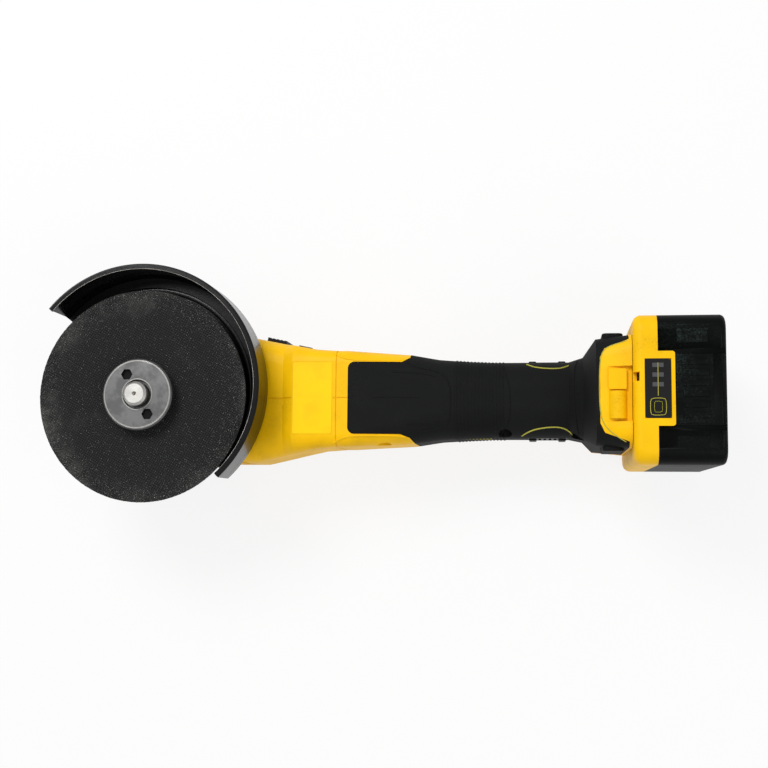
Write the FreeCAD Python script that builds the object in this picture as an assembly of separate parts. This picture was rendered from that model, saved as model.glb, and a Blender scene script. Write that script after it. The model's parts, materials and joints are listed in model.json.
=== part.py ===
"""Cordless 125 mm angle grinder, lying on its back with the disc up.

Frame, in millimetres: the spindle turns about Z through X = Y = 0, the motor lies
along X at Z = AXIS_Z, the battery is towards +X, and the slide switch is on +Y.
Z = 0 is the flat top of the gear case, on which the tool rests.
"""
import FreeCAD, Part
import math
import os

V = FreeCAD.Vector
X_DIR = V(1, 0, 0)
Y_DIR = V(0, 1, 0)
Z_DIR = V(0, 0, 1)

# ---- clearances -------------------------------------------------------------
SEAT = 0.05            # radial room of a seat inside one body
RUN = 0.05             # radial room of a running fit
GAP = 0.3              # room between pieces of different bodies

# ---- housing ----------------------------------------------------------------
AXIS_Z = 38.0          # motor axis above the resting plane
HEAD_HALF_W = 37.5     # half width of the flared front
MOTOR_HALF_W = 29.5    # half width where the slopes end
REAR_HALF_W = 28.5     # half width at the rear of the motor
ARM_HALF_W = 26.5      # half width where the soft cover starts
HANDLE_HALF_W = 22.5   # half width of the grip
FOOT_HALF_W = 31.0     # half width of the battery foot
HEAD_TOP_Z = 67.5      # stays under the turning guard
MOTOR_TOP_Z = 71.0
HANDLE_TOP_Z = 66.0
FOOT_TOP_Z = 112.0
BELLY_Z = 4.0
HANDLE_BELLY_Z = 14.0
CASE_END_X = 42.0      # joint face of gear case and housing
SLOPE_X0 = 62.0        # the sides slope inwards from here
SLOPE_X1 = 100.0       # to here
FLAT_X0 = 86.0         # start of the flat top behind the head
NARROW_X = 172.0       # the cover has drawn in to here
GRIP_X0 = 190.0
GRIP_FULL_X = 204.0    # the grip keeps one section from here
GRIP_X1 = 248.0
CREASE_X = 256.0       # where the grip meets the foot
FOOT_X0 = 262.0        # front of the foot block
DECK_X = 281.0         # face of the foot under the battery
WALL = 2.8
RUBBER = 2.0           # depth of the soft cover
SKIN_WALL = 2.6        # wall left under the soft cover
SEAM_BOSS_R = 4.5
SEAM_SCREW_R = 1.9
SEAM_HEAD_R = 3.6
SEAM_SCREWS = ((140.0, 60.0), (140.0, 16.0), (211.0, 56.0), (211.0, 23.5), (253.0, 57.0), (253.0, 21.0))

# ---- soft cover and trim ----------------------------------------------------
WINDOW_X0 = 119.3      # front edge of the black window behind the label
WINDOW_HALF_W = 21.3
WINDOW_ROUND = 4.0
COVER_X0 = 156.0       # from here the cover wraps the handle
COVER_LOW_Z = 22.0     # the shell shows below this line
LABEL_X0 = 86.4
LABEL_X1 = 110.0
LABEL_HALF_W = 21.3
LABEL_T = 0.3
BUMPER_PROUD = 1.5
STRAP_BAR_X = 11.5     # middle of the strap bar behind the foot's front
STRAP_BAR_R = 5.0
BUMPER_Z0 = 62.0
BUMPER_Z1 = 100.0
PANEL_X = 112.4        # line round the housing behind the label
GROOVE_W = 0.5         # width of the housing's surface lines
LINE_DEPTH = 0.5
VENT_X0 = 224.0
VENT_X1 = 247.0
VENT_Z0 = 27.0
VENT_Z1 = 50.0
VENT_T = 2.0

# ---- spindle line -----------------------------------------------------------
BUSH_Z0 = 12.0
BUSH_LEN = 9.0
BUSH_R = 6.0
JOURNAL_R = 4.0
GEAR_SEAT_R = 5.0
GEAR_BACK_Z = 50.0
SPINDLE_BEARING = (6.0, 16.0, 10.0)    # bore radius, outer radius, width
SHOULDER_R = 8.5
FLANGE_Z0 = 77.0
FLANGE_T = 8.0
FLANGE_R = 20.5
THREAD_R = 7.0
THREAD_CORE_R = 6.75
DISC_R = 62.5
DISC_T = 3.0
DISC_BORE_R = 11.1
NUT_NECK_R = 16.0
NUT_NECK_H = 4.0
NUT_R = 20.8
NUT_H = 4.5
NUT_BORE_R = 8.3
PIN_HOLE_AF = 6.0
PIN_HOLE_PITCH = 26.4
PIN_HOLE_ANGLE = 119.0
SPINDLE_OUT = 5.5      # spindle beyond the nut

# ---- bevel gears ------------------------------------------------------------
MODULE = 1.0
GEAR_TEETH = 41
PINION_TEETH = 12
PRESSURE_ANGLE = 20.0
FACE = 6.5
SHIFT = 0.35           # long pinion teeth, short gear teeth
BACKLASH = 0.14
PINION_SEAT_R = 2.5
ROOT_ROOM = 0.22

# ---- gear case --------------------------------------------------------------
CASE_R = 33.0
CASE_TOP_Z = 56.0
CHAMBER_R = 23.0
CHAMBER_Z0 = 36.0
TUNNEL_R = 9.5
CASE_SCREW_PCD_R = 28.5
CASE_SCREW_R = 1.9
RETAINER_T = 5.0
NECK_R = 22.0
NECK_TOP_Z = 72.0
NECK_BORE_R = 12.0
SIDE_BOSS_X = 4.0
SIDE_BOSS_Z = 30.0
SIDE_BOSS_R = 9.0
SIDE_BOSS_Y = 39.0
SIDE_TAP_R = 3.4       # M8
SIDE_TAP_DEPTH = 12.0
LOCK_X = -10.5
LOCK_PIN_R = 1.75
LOCK_TRAVEL = 4.0
LOCK_BUTTON_R = 7.0
LOCK_REST_Z = 0.6
LOCK_HOLES = 8

# ---- guard ------------------------------------------------------------------
GUARD_R = 72.0
GUARD_T = 2.0
GUARD_Z0 = 70.0
GUARD_TOP_Z = 97.0
GUARD_LIP = 3.0
GUARD_SHIFT_Y = 4.8    # skirt centre off the spindle
GUARD_A0 = -47.0       # ends of the skirt, degrees from +X
GUARD_A1 = 140.2
COLLAR_T = 2.0
COLLAR_H = 8.0
GROOVE_DEPTH = 1.4
GROOVE_Z0 = 65.0
GROOVE_Z1 = 67.5
LEVER_ANGLE = -100.0
LEVER_CLEAR = 5.7      # lever pivot beyond the collar
LEVER_T = 3.0
LEVER_PIVOT_R = 2.0
NOTCH_STEP = 20.0
LUG_ENTRIES = (200.0, 320.0, 80.0)

# ---- motor ------------------------------------------------------------------
STATOR_R = 25.0
STATOR_X0 = 66.0
STATOR_X1 = 96.0
STATOR_BORE_R = 14.6
STATOR_TEETH = 6
ROTOR_R = 12.2
MAGNET_T = 1.8
SHAFT_R = 5.0
FRONT_BEARING = (4.0, 11.0, 7.0)
FRONT_BEARING_X = 30.0
REAR_BEARING = (3.5, 9.5, 6.0)
REAR_BEARING_X = 112.0
FAN_R = 25.0
FAN_X0 = 44.0
FAN_X1 = 56.0
FAN_BLADES = 11
BAFFLE_X0 = 58.0
BAFFLE_T = 2.0
BAFFLE_HOLE_R = 17.0

# ---- switch -----------------------------------------------------------------
SLIDE_X = 66.0         # front end of the slide button
SLIDE_LEN = 28.0
SLIDE_Z0 = 30.0
SLIDE_Z1 = 50.0
SLIDE_TRAVEL = 7.0
SLIDE_PROUD = 2.6
SLIDE_POCKET = 1.2
ROD_Z0 = 52.0
ROD_Z1 = 57.0
ROD_V0 = -8.2          # rod below the side face, in the slide's frame
ROD_V1 = -5.4
ROD_END = 69.5
SWITCH_Z0 = 28.0
SWITCH_TOP_Z = 43.0

# ---- electronics ------------------------------------------------------------
LEAD_YS = (-6.0, 6.0)  # battery leads
DUCT_X = 265.6
DUCT_HALF = 1.6
DUCT_Z = 44.0
LEAD_R = 1.4
PHASE_YS = (-9.0, 6.5, 10.5)
PHASE_Z = 22.0
MODULE_X0 = 143.0
MODULE_X1 = 205.0
MODULE_HALF_W = 15.0
MODULE_Z0 = 24.0
MODULE_Z1 = 52.0

# ---- battery ----------------------------------------------------------------
PACK_HALF_W = 40.5
PACK_X1 = 330.0
PACK_SPLIT_X = 294.0
PACK_H = 118.0
PACK_WALL = 2.2
PACK_ROUND = 9.0
TONGUE_HALF_W = 26.5
TONGUE_NECK_HALF_W = 23.5
TONGUE_X0 = 268.5
TONGUE_NECK_X0 = 275.0
TONGUE_Z0 = 6.0
TONGUE_Z1 = 98.0
CELL_R = 9.1
CELL_LEN = 65.0
CELL_ROWS = 5
CELL_ROOM = 0.4        # between neighbouring cells
GAUGE_X0 = 287.0
GAUGE_X1 = 301.0
GAUGE_HALF_W = 16.0
GAUGE_T = 1.2
GAUGE_BUTTON = 8.0
GAUGE_BUTTON_Y = -9.8
LAMP_YS = (12.5, 7.3, 2.1)
LAMP_X0 = 291.0
LAMP_X1 = 297.0
LATCH_TRAVEL = 4.0
LATCH_HALF_W = 16.0
LATCH_TOP_Z = 13.0
LATCH_DEPTH = 12.0
TOOTH_HALF_W = 6.0
TOOTH_Z0 = 7.5
TOOTH_Z1 = 12.5
TOOTH_REACH = 3.0      # tooth beyond the tongue
BEZEL_DEPTH = 6.0
PACK_BOSS_Y = 36.0
PACK_BOSS_END_Z = 7.0  # screw line from each end of the pack
PACK_BOSS_R = 2.9
PACK_SCREW_R = 1.5
PACK_SCREW_LEN = 40.0
PACK_SCREW_SINK = 3.4
BLADE_YS = (-16.5, -5.5, 5.5, 16.5)
BLADE_T = 0.8
BLADE_X0 = 270.5
BLADE_X1 = 277.0
BLADE_LEN = 12.0
SLOT_ROOM = 0.45
TERMINAL_HALF_W = 23.0
TERMINAL_H = 8.0

# ---- worked out from the above ----------------------------------------------
DISC_Z0 = FLANGE_Z0 + FLANGE_T
DISC_Z1 = DISC_Z0 + DISC_T
NUT_TOP_Z = DISC_Z1 + NUT_NECK_H + NUT_H
SPINDLE_TOP_Z = NUT_TOP_Z + SPINDLE_OUT
SHOULDER_Z0 = GEAR_BACK_Z + SPINDLE_BEARING[2]
RETAINER_TOP_Z = CASE_TOP_Z + RETAINER_T
COLLAR_R = NECK_R + GAP
LEVER_R = COLLAR_R + COLLAR_T + LEVER_CLEAR
LATCH_X0 = DECK_X + 3.0
LEAD_END_Z = TONGUE_Z1 + 4.0
LATCH_ROOF_Z = LATCH_TOP_Z + GAP + 2.0
BEZEL_Z0 = PACK_H - BEZEL_DEPTH
GAUGE_WELL_Z = PACK_H - BEZEL_DEPTH + 1.0
CLIP_Z = GEAR_BACK_Z - 7.4
LEVER_NOSE_ANGLE = LEVER_ANGLE + 19.0
SIDE_SLOPE = math.atan((HEAD_HALF_W - MOTOR_HALF_W) / (SLOPE_X1 - SLOPE_X0))
HEAD_SLOPE_Z = HEAD_TOP_Z + 1.0
LOCK_REACH_Z = GEAR_BACK_Z - 7.3


# ---- small helpers ----------------------------------------------------------
def cyl_z(r, z0, z1, x=0.0, y=0.0):
    return Part.makeCylinder(r, z1 - z0, V(x, y, z0), Z_DIR)


def cyl_x(r, x0, x1, y=0.0, z=AXIS_Z):
    return Part.makeCylinder(r, x1 - x0, V(x0, y, z), X_DIR)


def cyl_y(r, y0, y1, x, z):
    return Part.makeCylinder(r, y1 - y0, V(x, y0, z), Y_DIR)


def box(x0, x1, y0, y1, z0, z1):
    return Part.makeBox(x1 - x0, y1 - y0, z1 - z0, V(x0, y0, z0))


def joined(shapes):
    shapes = list(shapes)
    whole = shapes[0].multiFuse(shapes[1:]) if len(shapes) > 1 else shapes[0]
    return whole.removeSplitter()


def less(shape, cutters):
    return shape.cut(Part.makeCompound(list(cutters)))


def group(shapes):
    """Separate solids that share one node."""
    return Part.makeCompound([solid for shape in shapes for solid in shape.Solids])


def turned(profile, axis=Z_DIR, centre=V(0, 0, 0)):
    """A solid of revolution from (radius, height) points along the axis."""
    if axis == X_DIR:
        points = [centre + V(h, 0, r) for r, h in profile]
    else:
        points = [centre + V(r, 0, h) for r, h in profile]
    face = Part.Face(Part.makePolygon(points + points[:1]))
    return face.revolve(centre, axis, 360)


def about_x(profile):
    return turned(profile, X_DIR, V(0, 0, AXIS_Z))


def spun(shape, angle, axis=Z_DIR, centre=V(0, 0, 0)):
    copy = shape.copy()
    copy.rotate(centre, axis, angle)
    return copy


def moved(shape, x=0.0, y=0.0, z=0.0):
    copy = shape.copy()
    copy.translate(V(x, y, z))
    return copy


def mirrored_y(shape):
    return shape.mirror(V(0, 0, 0), Y_DIR)


def round_box(x0, x1, y0, y1, z0, z1, r, axis=Z_DIR):
    """A box with the four edges along one axis rounded."""
    block = box(x0, x1, y0, y1, z0, z1)
    edges = [e for e in block.Edges if abs(e.tangentAt(e.FirstParameter).dot(axis)) > 0.99]
    return block.makeFillet(r, edges)


def prism(points, z0, z1):
    """A plan outline pulled up from z0 to z1."""
    corners = [V(x, y, z0) for x, y in points]
    return Part.Face(Part.makePolygon(corners + corners[:1])).extrude(V(0, 0, z1 - z0))


def section(x, half_w, z_lo, z_hi, r, r_low=None):
    """Rounded rectangle in the plane X = x, with its own radius at the lower corners."""
    arcs = []
    for sy, sz in ((1, 1), (-1, 1), (-1, -1), (1, -1)):
        r_here = r if sz > 0 or r_low is None else r_low
        corner = math.sqrt(0.5) * r_here
        cy = sy * (half_w - r_here)
        cz = z_hi - r_here if sz > 0 else z_lo + r_here
        side = V(x, cy + sy * r_here, cz)
        middle = V(x, cy + sy * corner, cz + sz * corner)
        end = V(x, cy, cz + sz * r_here)
        first, last = (side, end) if sy * sz > 0 else (end, side)
        arcs.append((first, middle, last))
    edges = []
    for i, (first, middle, last) in enumerate(arcs):
        edges.append(Part.Arc(first, middle, last).toShape())
        edges.append(Part.LineSegment(last, arcs[(i + 1) % 4][0]).toShape())
    return Part.Wire(edges)


def body_stations(front, grip):
    """Stations of the body: x, half width, low and high z, upper and lower corner radius, inset."""
    flat_w = slope_half_w(FLAT_X0)
    return (
        (CASE_END_X, HEAD_HALF_W, BELLY_Z, HEAD_TOP_Z - 1.0, 14.0, 14.0, front),
        (SLOPE_X0, HEAD_HALF_W, BELLY_Z, HEAD_TOP_Z, 14.0, 14.0, front),
        (FLAT_X0 - 6.0, slope_half_w(FLAT_X0 - 6.0), BELLY_Z, HEAD_SLOPE_Z, 14.0, 18.0, front),
        (FLAT_X0, flat_w, BELLY_Z + 0.5, MOTOR_TOP_Z, 11.0, 20.0, front),
        (SLOPE_X1, MOTOR_HALF_W, BELLY_Z + 1.0, MOTOR_TOP_Z, 8.0, 22.0, front),
        (WINDOW_X0 - 6.0, REAR_HALF_W, BELLY_Z + 1.0, MOTOR_TOP_Z, 7.5, 22.0, front),
        (WINDOW_X0 - 1.0, REAR_HALF_W, BELLY_Z + 1.0, MOTOR_TOP_Z, 7.5, 22.0, grip),
        (COVER_X0, ARM_HALF_W, BELLY_Z + 3.0, MOTOR_TOP_Z - 0.5, 15.0, 21.0, grip),
        (NARROW_X, HANDLE_HALF_W + 1.5, HANDLE_BELLY_Z - 4.0, MOTOR_TOP_Z - 2.0, 17.0, 18.0, grip),
        (GRIP_X0, HANDLE_HALF_W + 0.5, HANDLE_BELLY_Z - 2.0, HANDLE_TOP_Z + 1.0, 18.0, 18.0, grip),
        (GRIP_FULL_X, HANDLE_HALF_W, HANDLE_BELLY_Z, HANDLE_TOP_Z, 18.0, 18.0, grip),
        (GRIP_X1, HANDLE_HALF_W, HANDLE_BELLY_Z, HANDLE_TOP_Z, 18.0, 18.0, grip),
        (CREASE_X, HANDLE_HALF_W + 1.5, HANDLE_BELLY_Z - 3.0, HANDLE_TOP_Z + 9.0, 18.0, 18.0, grip),
        (FOOT_X0, FOOT_HALF_W - 1.5, BELLY_Z + 1.0, FOOT_TOP_Z - 5.0, 12.0, 14.0, grip),
        (DECK_X, FOOT_HALF_W, BELLY_Z - 1.0, FOOT_TOP_Z, 10.0, 12.0, grip),
    )


def body_loft(inset_front, inset_grip, x_from=CASE_END_X, x_to=DECK_X):
    """The tool body through its stations, drawn in by an inset front and rear."""
    wires = []
    for x, half_w, z_lo, z_hi, r, r_low, inset in body_stations(inset_front, inset_grip):
        if x_from <= x <= x_to:
            wires.append(section(x, half_w - inset, z_lo + inset, z_hi - inset, r - inset, r_low - inset))
    return Part.makeLoft(wires, True, True)


def slope_half_w(x):
    """Half width of the housing where its sides slope inwards."""
    return HEAD_HALF_W - math.tan(SIDE_SLOPE) * (x - SLOPE_X0)


def coil_spring(r, wire_r, length, turns):
    """Round-wire helix along +Z from the origin, with its wire inside the length."""
    path = Part.makeHelix((length - 2 * wire_r) / turns, length - 2 * wire_r, r)
    ring = Part.Wire(Part.makeCircle(wire_r, V(r, 0, 0), Y_DIR))
    spring = Part.Wire(path.Edges).makePipeShell([ring], True, True)
    return moved(spring, z=wire_r)


def ball_bearing(size, start, axis):
    """Outer ring with its balls, and inner ring, of an open ball bearing."""
    bore_r, outer_r, width = size
    pitch_r = (bore_r + outer_r) / 2
    ball_r = 0.3 * (outer_r - bore_r)
    land = 0.55 * ball_r
    middle = width / 2
    count = int(2 * math.pi * pitch_r / (2.3 * ball_r))
    track = Part.makeTorus(pitch_r, ball_r + RUN, V(0, 0, middle), Z_DIR)
    outer = turned([(pitch_r + land, 0), (outer_r, 0), (outer_r, width), (pitch_r + land, width)])
    inner = turned([(bore_r, 0), (pitch_r - land, 0), (pitch_r - land, width), (bore_r, width)])
    ball = Part.makeSphere(ball_r, V(pitch_r, 0, middle))
    balls = [spun(ball, 360.0 * i / count) for i in range(count)]
    outer_set = group([outer.cut(track)] + balls)
    inner_ring = inner.cut(track)
    if axis == X_DIR:
        outer_set.rotate(V(0, 0, 0), Y_DIR, 90)
        inner_ring.rotate(V(0, 0, 0), Y_DIR, 90)
        return moved(outer_set, x=start, z=AXIS_Z), moved(inner_ring, x=start, z=AXIS_Z)
    return moved(outer_set, z=start), moved(inner_ring, z=start)


def hex_prism(across_flats, z0, z1, x, y):
    """Six-sided prism centred on (x, y)."""
    corner_r = across_flats / math.sqrt(3)
    corners = [(x + corner_r * math.cos(math.radians(60 * i)),
                y + corner_r * math.sin(math.radians(60 * i))) for i in range(6)]
    return prism(corners, z0, z1)


# ---- bevel gears ------------------------------------------------------------
def involute(angle):
    return math.tan(angle) - angle


def bevel_blank_angles(teeth, mate, addendum, dedendum):
    """Pitch angle, cone distance, tip angle and root angle of a bevel gear."""
    pitch = math.atan2(teeth, mate)
    distance = MODULE * teeth / 2 / math.sin(pitch)
    return pitch, distance, pitch + math.atan(addendum / distance), pitch - math.atan(dedendum / distance)


def bevel_tooth(teeth, mate, addendum, dedendum, thickness):
    """One tooth with its apex at the origin, opening along +Z, centred on +X."""
    pitch, distance, _, _ = bevel_blank_angles(teeth, mate, addendum, dedendum)
    virtual_r = MODULE * teeth / 2 / math.cos(pitch)
    base_r = virtual_r * math.cos(math.radians(PRESSURE_ANGLE))
    half = thickness / 2 / virtual_r + involute(math.radians(PRESSURE_ANGLE))
    steps = 6
    flank = []
    low = virtual_r - dedendum - 0.35
    high = virtual_r + addendum
    for i in range(steps + 1):
        r = low + (high - low) * i / steps
        turn = half - involute(math.acos(min(1.0, base_r / r)))
        cone = pitch + math.atan((r - virtual_r) / distance)
        flank.append((cone, turn / math.cos(pitch)))
    outline = [(cone, -turn) for cone, turn in flank] + [(cone, turn) for cone, turn in reversed(flank)]
    pitch_line = V(math.sin(pitch), 0, math.cos(pitch))
    wires = []
    for reach in (distance, distance - FACE):
        points = []
        for cone, turn in outline:
            ray = V(math.sin(cone) * math.cos(turn), math.sin(cone) * math.sin(turn), math.cos(cone))
            points.append(ray * (reach / ray.dot(pitch_line)))
        wires.append(Part.makePolygon(points + points[:1]))
    return Part.makeLoft(wires, True, True)


def bevel_teeth(teeth, mate, addendum, dedendum, thickness, phase):
    tooth = bevel_tooth(teeth, mate, addendum, dedendum, thickness)
    return [spun(tooth, phase + 360.0 * i / teeth) for i in range(teeth)]


def gear_numbers():
    """Addendum, dedendum and tooth thickness of the pinion and of the gear."""
    long_add = MODULE * (1 + SHIFT)
    short_add = MODULE * (1 - SHIFT)
    widening = 2 * SHIFT * MODULE * math.tan(math.radians(PRESSURE_ANGLE))
    half_pitch = math.pi * MODULE / 2
    pinion = (long_add, short_add + ROOT_ROOM, half_pitch + widening - BACKLASH)
    gear = (short_add, long_add + ROOT_ROOM, half_pitch - widening - BACKLASH)
    return pinion, gear


def bevel_gear():
    _, (addendum, dedendum, thickness) = gear_numbers()
    _, distance, _, root = bevel_blank_angles(GEAR_TEETH, PINION_TEETH, addendum, dedendum)
    heel = (distance * math.sin(root), distance * math.cos(root))
    toe = ((distance - FACE) * math.sin(root), (distance - FACE) * math.cos(root))
    back = GEAR_BACK_Z - AXIS_Z
    web_z = 6.4
    hub_r = 8.0
    bore = GEAR_SEAT_R + SEAT
    blank = turned([
        (bore, web_z - 1.0), (hub_r, web_z - 1.0), (hub_r, web_z), (toe[0] - 0.9, web_z), toe,
        heel, (heel[0] + 0.7, heel[1] + 1.5), (heel[0] + 0.7, back), (bore, back)])
    wheel = joined([blank] + bevel_teeth(GEAR_TEETH, PINION_TEETH, addendum, dedendum, thickness, 0.0))
    hole = cyl_z(LOCK_PIN_R + 0.45, web_z - 2, back + 1, x=LOCK_X)
    wheel = less(wheel, [spun(hole, 360.0 * i / LOCK_HOLES) for i in range(LOCK_HOLES)])
    return moved(wheel, z=AXIS_Z)


def pinion():
    (addendum, dedendum, thickness), _ = gear_numbers()
    _, distance, _, root = bevel_blank_angles(PINION_TEETH, GEAR_TEETH, addendum, dedendum)
    heel = (distance * math.sin(root), distance * math.cos(root))
    toe = ((distance - FACE) * math.sin(root), (distance - FACE) * math.cos(root))
    bore = PINION_SEAT_R + SEAT
    blank = turned([
        (bore, toe[1]), toe, heel, (heel[0] + 0.6, heel[1]), (heel[0] + 0.6, FRONT_BEARING_X - SEAT),
        (bore, FRONT_BEARING_X - SEAT)])
    half_tooth = 180.0 / PINION_TEETH
    teeth = bevel_teeth(PINION_TEETH, GEAR_TEETH, addendum, dedendum, thickness, half_tooth)
    wheel = joined([blank] + teeth)
    wheel.rotate(V(0, 0, 0), Y_DIR, 90)
    return moved(wheel, z=AXIS_Z)


# ---- gear case --------------------------------------------------------------
def case_screw_spots():
    spots = []
    for angle in (45, 135, 225, 315):
        a = math.radians(angle)
        spots.append((CASE_SCREW_PCD_R * math.cos(a), CASE_SCREW_PCD_R * math.sin(a)))
    return spots


def flange_screw_spots():
    """Screws along X that hold the gear case to the housing."""
    y = HEAD_HALF_W - 8.0
    return [(sy * y, z) for sy in (1, -1) for z in (BELLY_Z + 8.0, HEAD_TOP_Z - 9.0)]


def gear_case():
    top = CASE_TOP_Z
    head = cyl_z(CASE_R, 0, top)
    head = head.makeFillet(4.0, [e for e in head.Edges if abs(e.BoundBox.ZMax) < 0.01])
    front = section(0.0, 30.0, 2.5, top, 9.0)
    back = section(CASE_END_X - 6, HEAD_HALF_W - 5.0, BELLY_Z, top, 9.0)
    throat = Part.makeLoft([front, back],
                           True, True)
    plate = body_loft(0.0, 0.0, CASE_END_X, SLOPE_X0).common(box(0, SLOPE_X0, -60, 60, 0, 90))
    plate = moved(plate, x=-(SLOPE_X0 - CASE_END_X)).common(box(CASE_END_X - 7, CASE_END_X, -60, 60, 0, 90))
    boss = cyl_y(SIDE_BOSS_R, -SIDE_BOSS_Y, SIDE_BOSS_Y, SIDE_BOSS_X, SIDE_BOSS_Z)
    solid = joined([head, throat, plate, boss])
    well = Part.makeLoft([section(CASE_END_X - 5, HEAD_HALF_W - 10.0, 10.0, 63.0, 12.0),
                          section(CASE_END_X + 1, HEAD_HALF_W - 3.5, 7.0, 63.6, 12.0)], True, True)
    hollows = [
        cyl_z(CHAMBER_R, CHAMBER_Z0, top + 1),
        cyl_x(TUNNEL_R, 0, CASE_END_X),
        cyl_x(FRONT_BEARING[1] + SEAT, FRONT_BEARING_X, CASE_END_X),
        well,
        cyl_z(BUSH_R + SEAT, BUSH_Z0, AXIS_Z),
        cyl_z(LOCK_PIN_R + RUN, 1, AXIS_Z, x=LOCK_X),
        cyl_z(LOCK_BUTTON_R + GAP, -1, LOCK_REST_Z + 4.0 + LOCK_TRAVEL + GAP, x=LOCK_X),
        cyl_z(3.5, 1, 14.0, x=LOCK_X),
    ]
    for x, y in case_screw_spots():
        hollows.append(cyl_z(CASE_SCREW_R + SEAT, top - 14, top + 1, x, y))
    for sy in (1, -1):
        tap = cyl_y(SIDE_TAP_R, 0, SIDE_TAP_DEPTH, SIDE_BOSS_X, SIDE_BOSS_Z)
        tap = moved(tap, y=SIDE_BOSS_Y - SIDE_TAP_DEPTH)
        hollows.append(tap if sy > 0 else mirrored_y(tap))
    for y, z in flange_screw_spots():
        hollows.append(cyl_x(CASE_SCREW_R + 0.2, CASE_END_X - 10, CASE_END_X + 1, y, z))
        hollows.append(cyl_x(CASE_SCREW_R + 1.8, CASE_END_X - 24, CASE_END_X - 7, y, z))
    return less(solid, hollows)


def bearing_retainer():
    """Cover that holds the spindle bearing and carries the guard."""
    bore = SPINDLE_BEARING[1] + SEAT
    z0 = GEAR_BACK_Z
    top = RETAINER_TOP_Z
    body = turned([
        (bore, z0), (CHAMBER_R - SEAT, z0), (CHAMBER_R - SEAT, CASE_TOP_Z), (CASE_R, CASE_TOP_Z),
        (CASE_R, top), (NECK_R, top), (NECK_R, GROOVE_Z0), (NECK_R - GROOVE_DEPTH, GROOVE_Z0),
        (NECK_R - GROOVE_DEPTH, GROOVE_Z1), (NECK_R, GROOVE_Z1), (NECK_R, NECK_TOP_Z),
        (NECK_BORE_R, NECK_TOP_Z), (NECK_BORE_R, SHOULDER_Z0), (bore, SHOULDER_Z0)])
    cuts = []
    for x, y in case_screw_spots():
        cuts.append(cyl_z(CASE_SCREW_R + 0.2, z0, top + 1, x, y))
        cuts.append(cyl_z(CASE_SCREW_R + 1.3, top - 2.8, top + 1, x, y))
    lever = math.radians(LEVER_ANGLE)
    pivot = (LEVER_R * math.cos(lever), LEVER_R * math.sin(lever))
    cuts.append(cyl_z(LEVER_PIVOT_R + SEAT, CASE_TOP_Z - 1, top + 1, *pivot))
    entry = box(NECK_R - GROOVE_DEPTH, NECK_R + 1, -3.5, 3.5, GROOVE_Z1 - 0.5, NECK_TOP_Z + 1)
    cuts += [spun(entry, angle) for angle in LUG_ENTRIES]
    return less(body, cuts)


def lever_pivot_xy():
    a = math.radians(LEVER_ANGLE)
    return LEVER_R * math.cos(a), LEVER_R * math.sin(a)


def screw(shank_r, length, head_r, head_h, recess_r=1.6):
    """Pan-head screw pointing along -Z, with the underside of its head at the origin."""
    shank = cyl_z(shank_r, -length, 0.1)
    head = cyl_z(head_r, 0, head_h)
    socket = hex_prism(recess_r * 2, head_h * 0.4, head_h + 1, 0, 0)
    return joined([shank, head]).cut(socket)


def retainer_screws():
    one = screw(CASE_SCREW_R, 12.0, CASE_SCREW_R + 1.0, 2.4, 1.1)
    return group([moved(one, x, y, RETAINER_TOP_Z - 2.8) for x, y in case_screw_spots()])


def gear_case_screws():
    one = screw(CASE_SCREW_R, 16.0, CASE_SCREW_R + 1.4, 2.6, 1.3)
    one.rotate(V(0, 0, 0), Y_DIR, -90)
    return group([moved(one, CASE_END_X - 7.0, y, z) for y, z in flange_screw_spots()])


def needle_bush():
    return cyl_z(BUSH_R, BUSH_Z0 + 0.5, BUSH_Z0 + BUSH_LEN).cut(cyl_z(JOURNAL_R + RUN, 0, AXIS_Z))


def spindle_seal():
    lip = SHOULDER_R + RUN
    z0 = SHOULDER_Z0 + 2
    return turned([(lip, z0), (NECK_BORE_R - SEAT, z0), (NECK_BORE_R - SEAT, z0 + 7), (lip, z0 + 7)])


def bearing_circlip():
    """Spring ring behind the motor's front bearing."""
    x0 = FRONT_BEARING_X + FRONT_BEARING[2]
    ring = about_x([(FRONT_BEARING[1] - 1.6, x0), (FRONT_BEARING[1] - SEAT, x0),
                    (FRONT_BEARING[1] - SEAT, x0 + 1.0), (FRONT_BEARING[1] - 1.6, x0 + 1.0)])
    return ring.cut(box(x0 - 1, x0 + 2, -2.5, 2.5, AXIS_Z, AXIS_Z + 20))


# ---- spindle body -----------------------------------------------------------
def spindle():
    top = SPINDLE_TOP_Z
    chamfer = THREAD_R - 5.6
    return turned([
        (0, BUSH_Z0 + 1), (JOURNAL_R, BUSH_Z0 + 1), (JOURNAL_R, BUSH_Z0 + BUSH_LEN + 1),
        (GEAR_SEAT_R, BUSH_Z0 + BUSH_LEN + 1), (GEAR_SEAT_R, CLIP_Z - 0.6), (GEAR_SEAT_R - 0.5, CLIP_Z - 0.6),
        (GEAR_SEAT_R - 0.5, CLIP_Z + 0.6), (GEAR_SEAT_R, CLIP_Z + 0.6), (GEAR_SEAT_R, GEAR_BACK_Z),
        (SPINDLE_BEARING[0] - SEAT, GEAR_BACK_Z), (SPINDLE_BEARING[0] - SEAT, SHOULDER_Z0),
        (SHOULDER_R, SHOULDER_Z0),
        (SHOULDER_R, FLANGE_Z0), (THREAD_CORE_R, FLANGE_Z0), (THREAD_CORE_R, NUT_TOP_Z + 0.2),
        (THREAD_R, NUT_TOP_Z + 0.2), (THREAD_R, top - chamfer), (5.6, top), (1.25, top), (0, top - 3)])


def gear_circlip():
    ring = turned([(GEAR_SEAT_R - 0.45, CLIP_Z - 0.5), (GEAR_SEAT_R + 1.8, CLIP_Z - 0.5),
                   (GEAR_SEAT_R + 1.8, CLIP_Z + 0.5), (GEAR_SEAT_R - 0.45, CLIP_Z + 0.5)])
    return ring.cut(box(0, 20, -3.0, 3.0, CLIP_Z - 1, CLIP_Z + 1))


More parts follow.
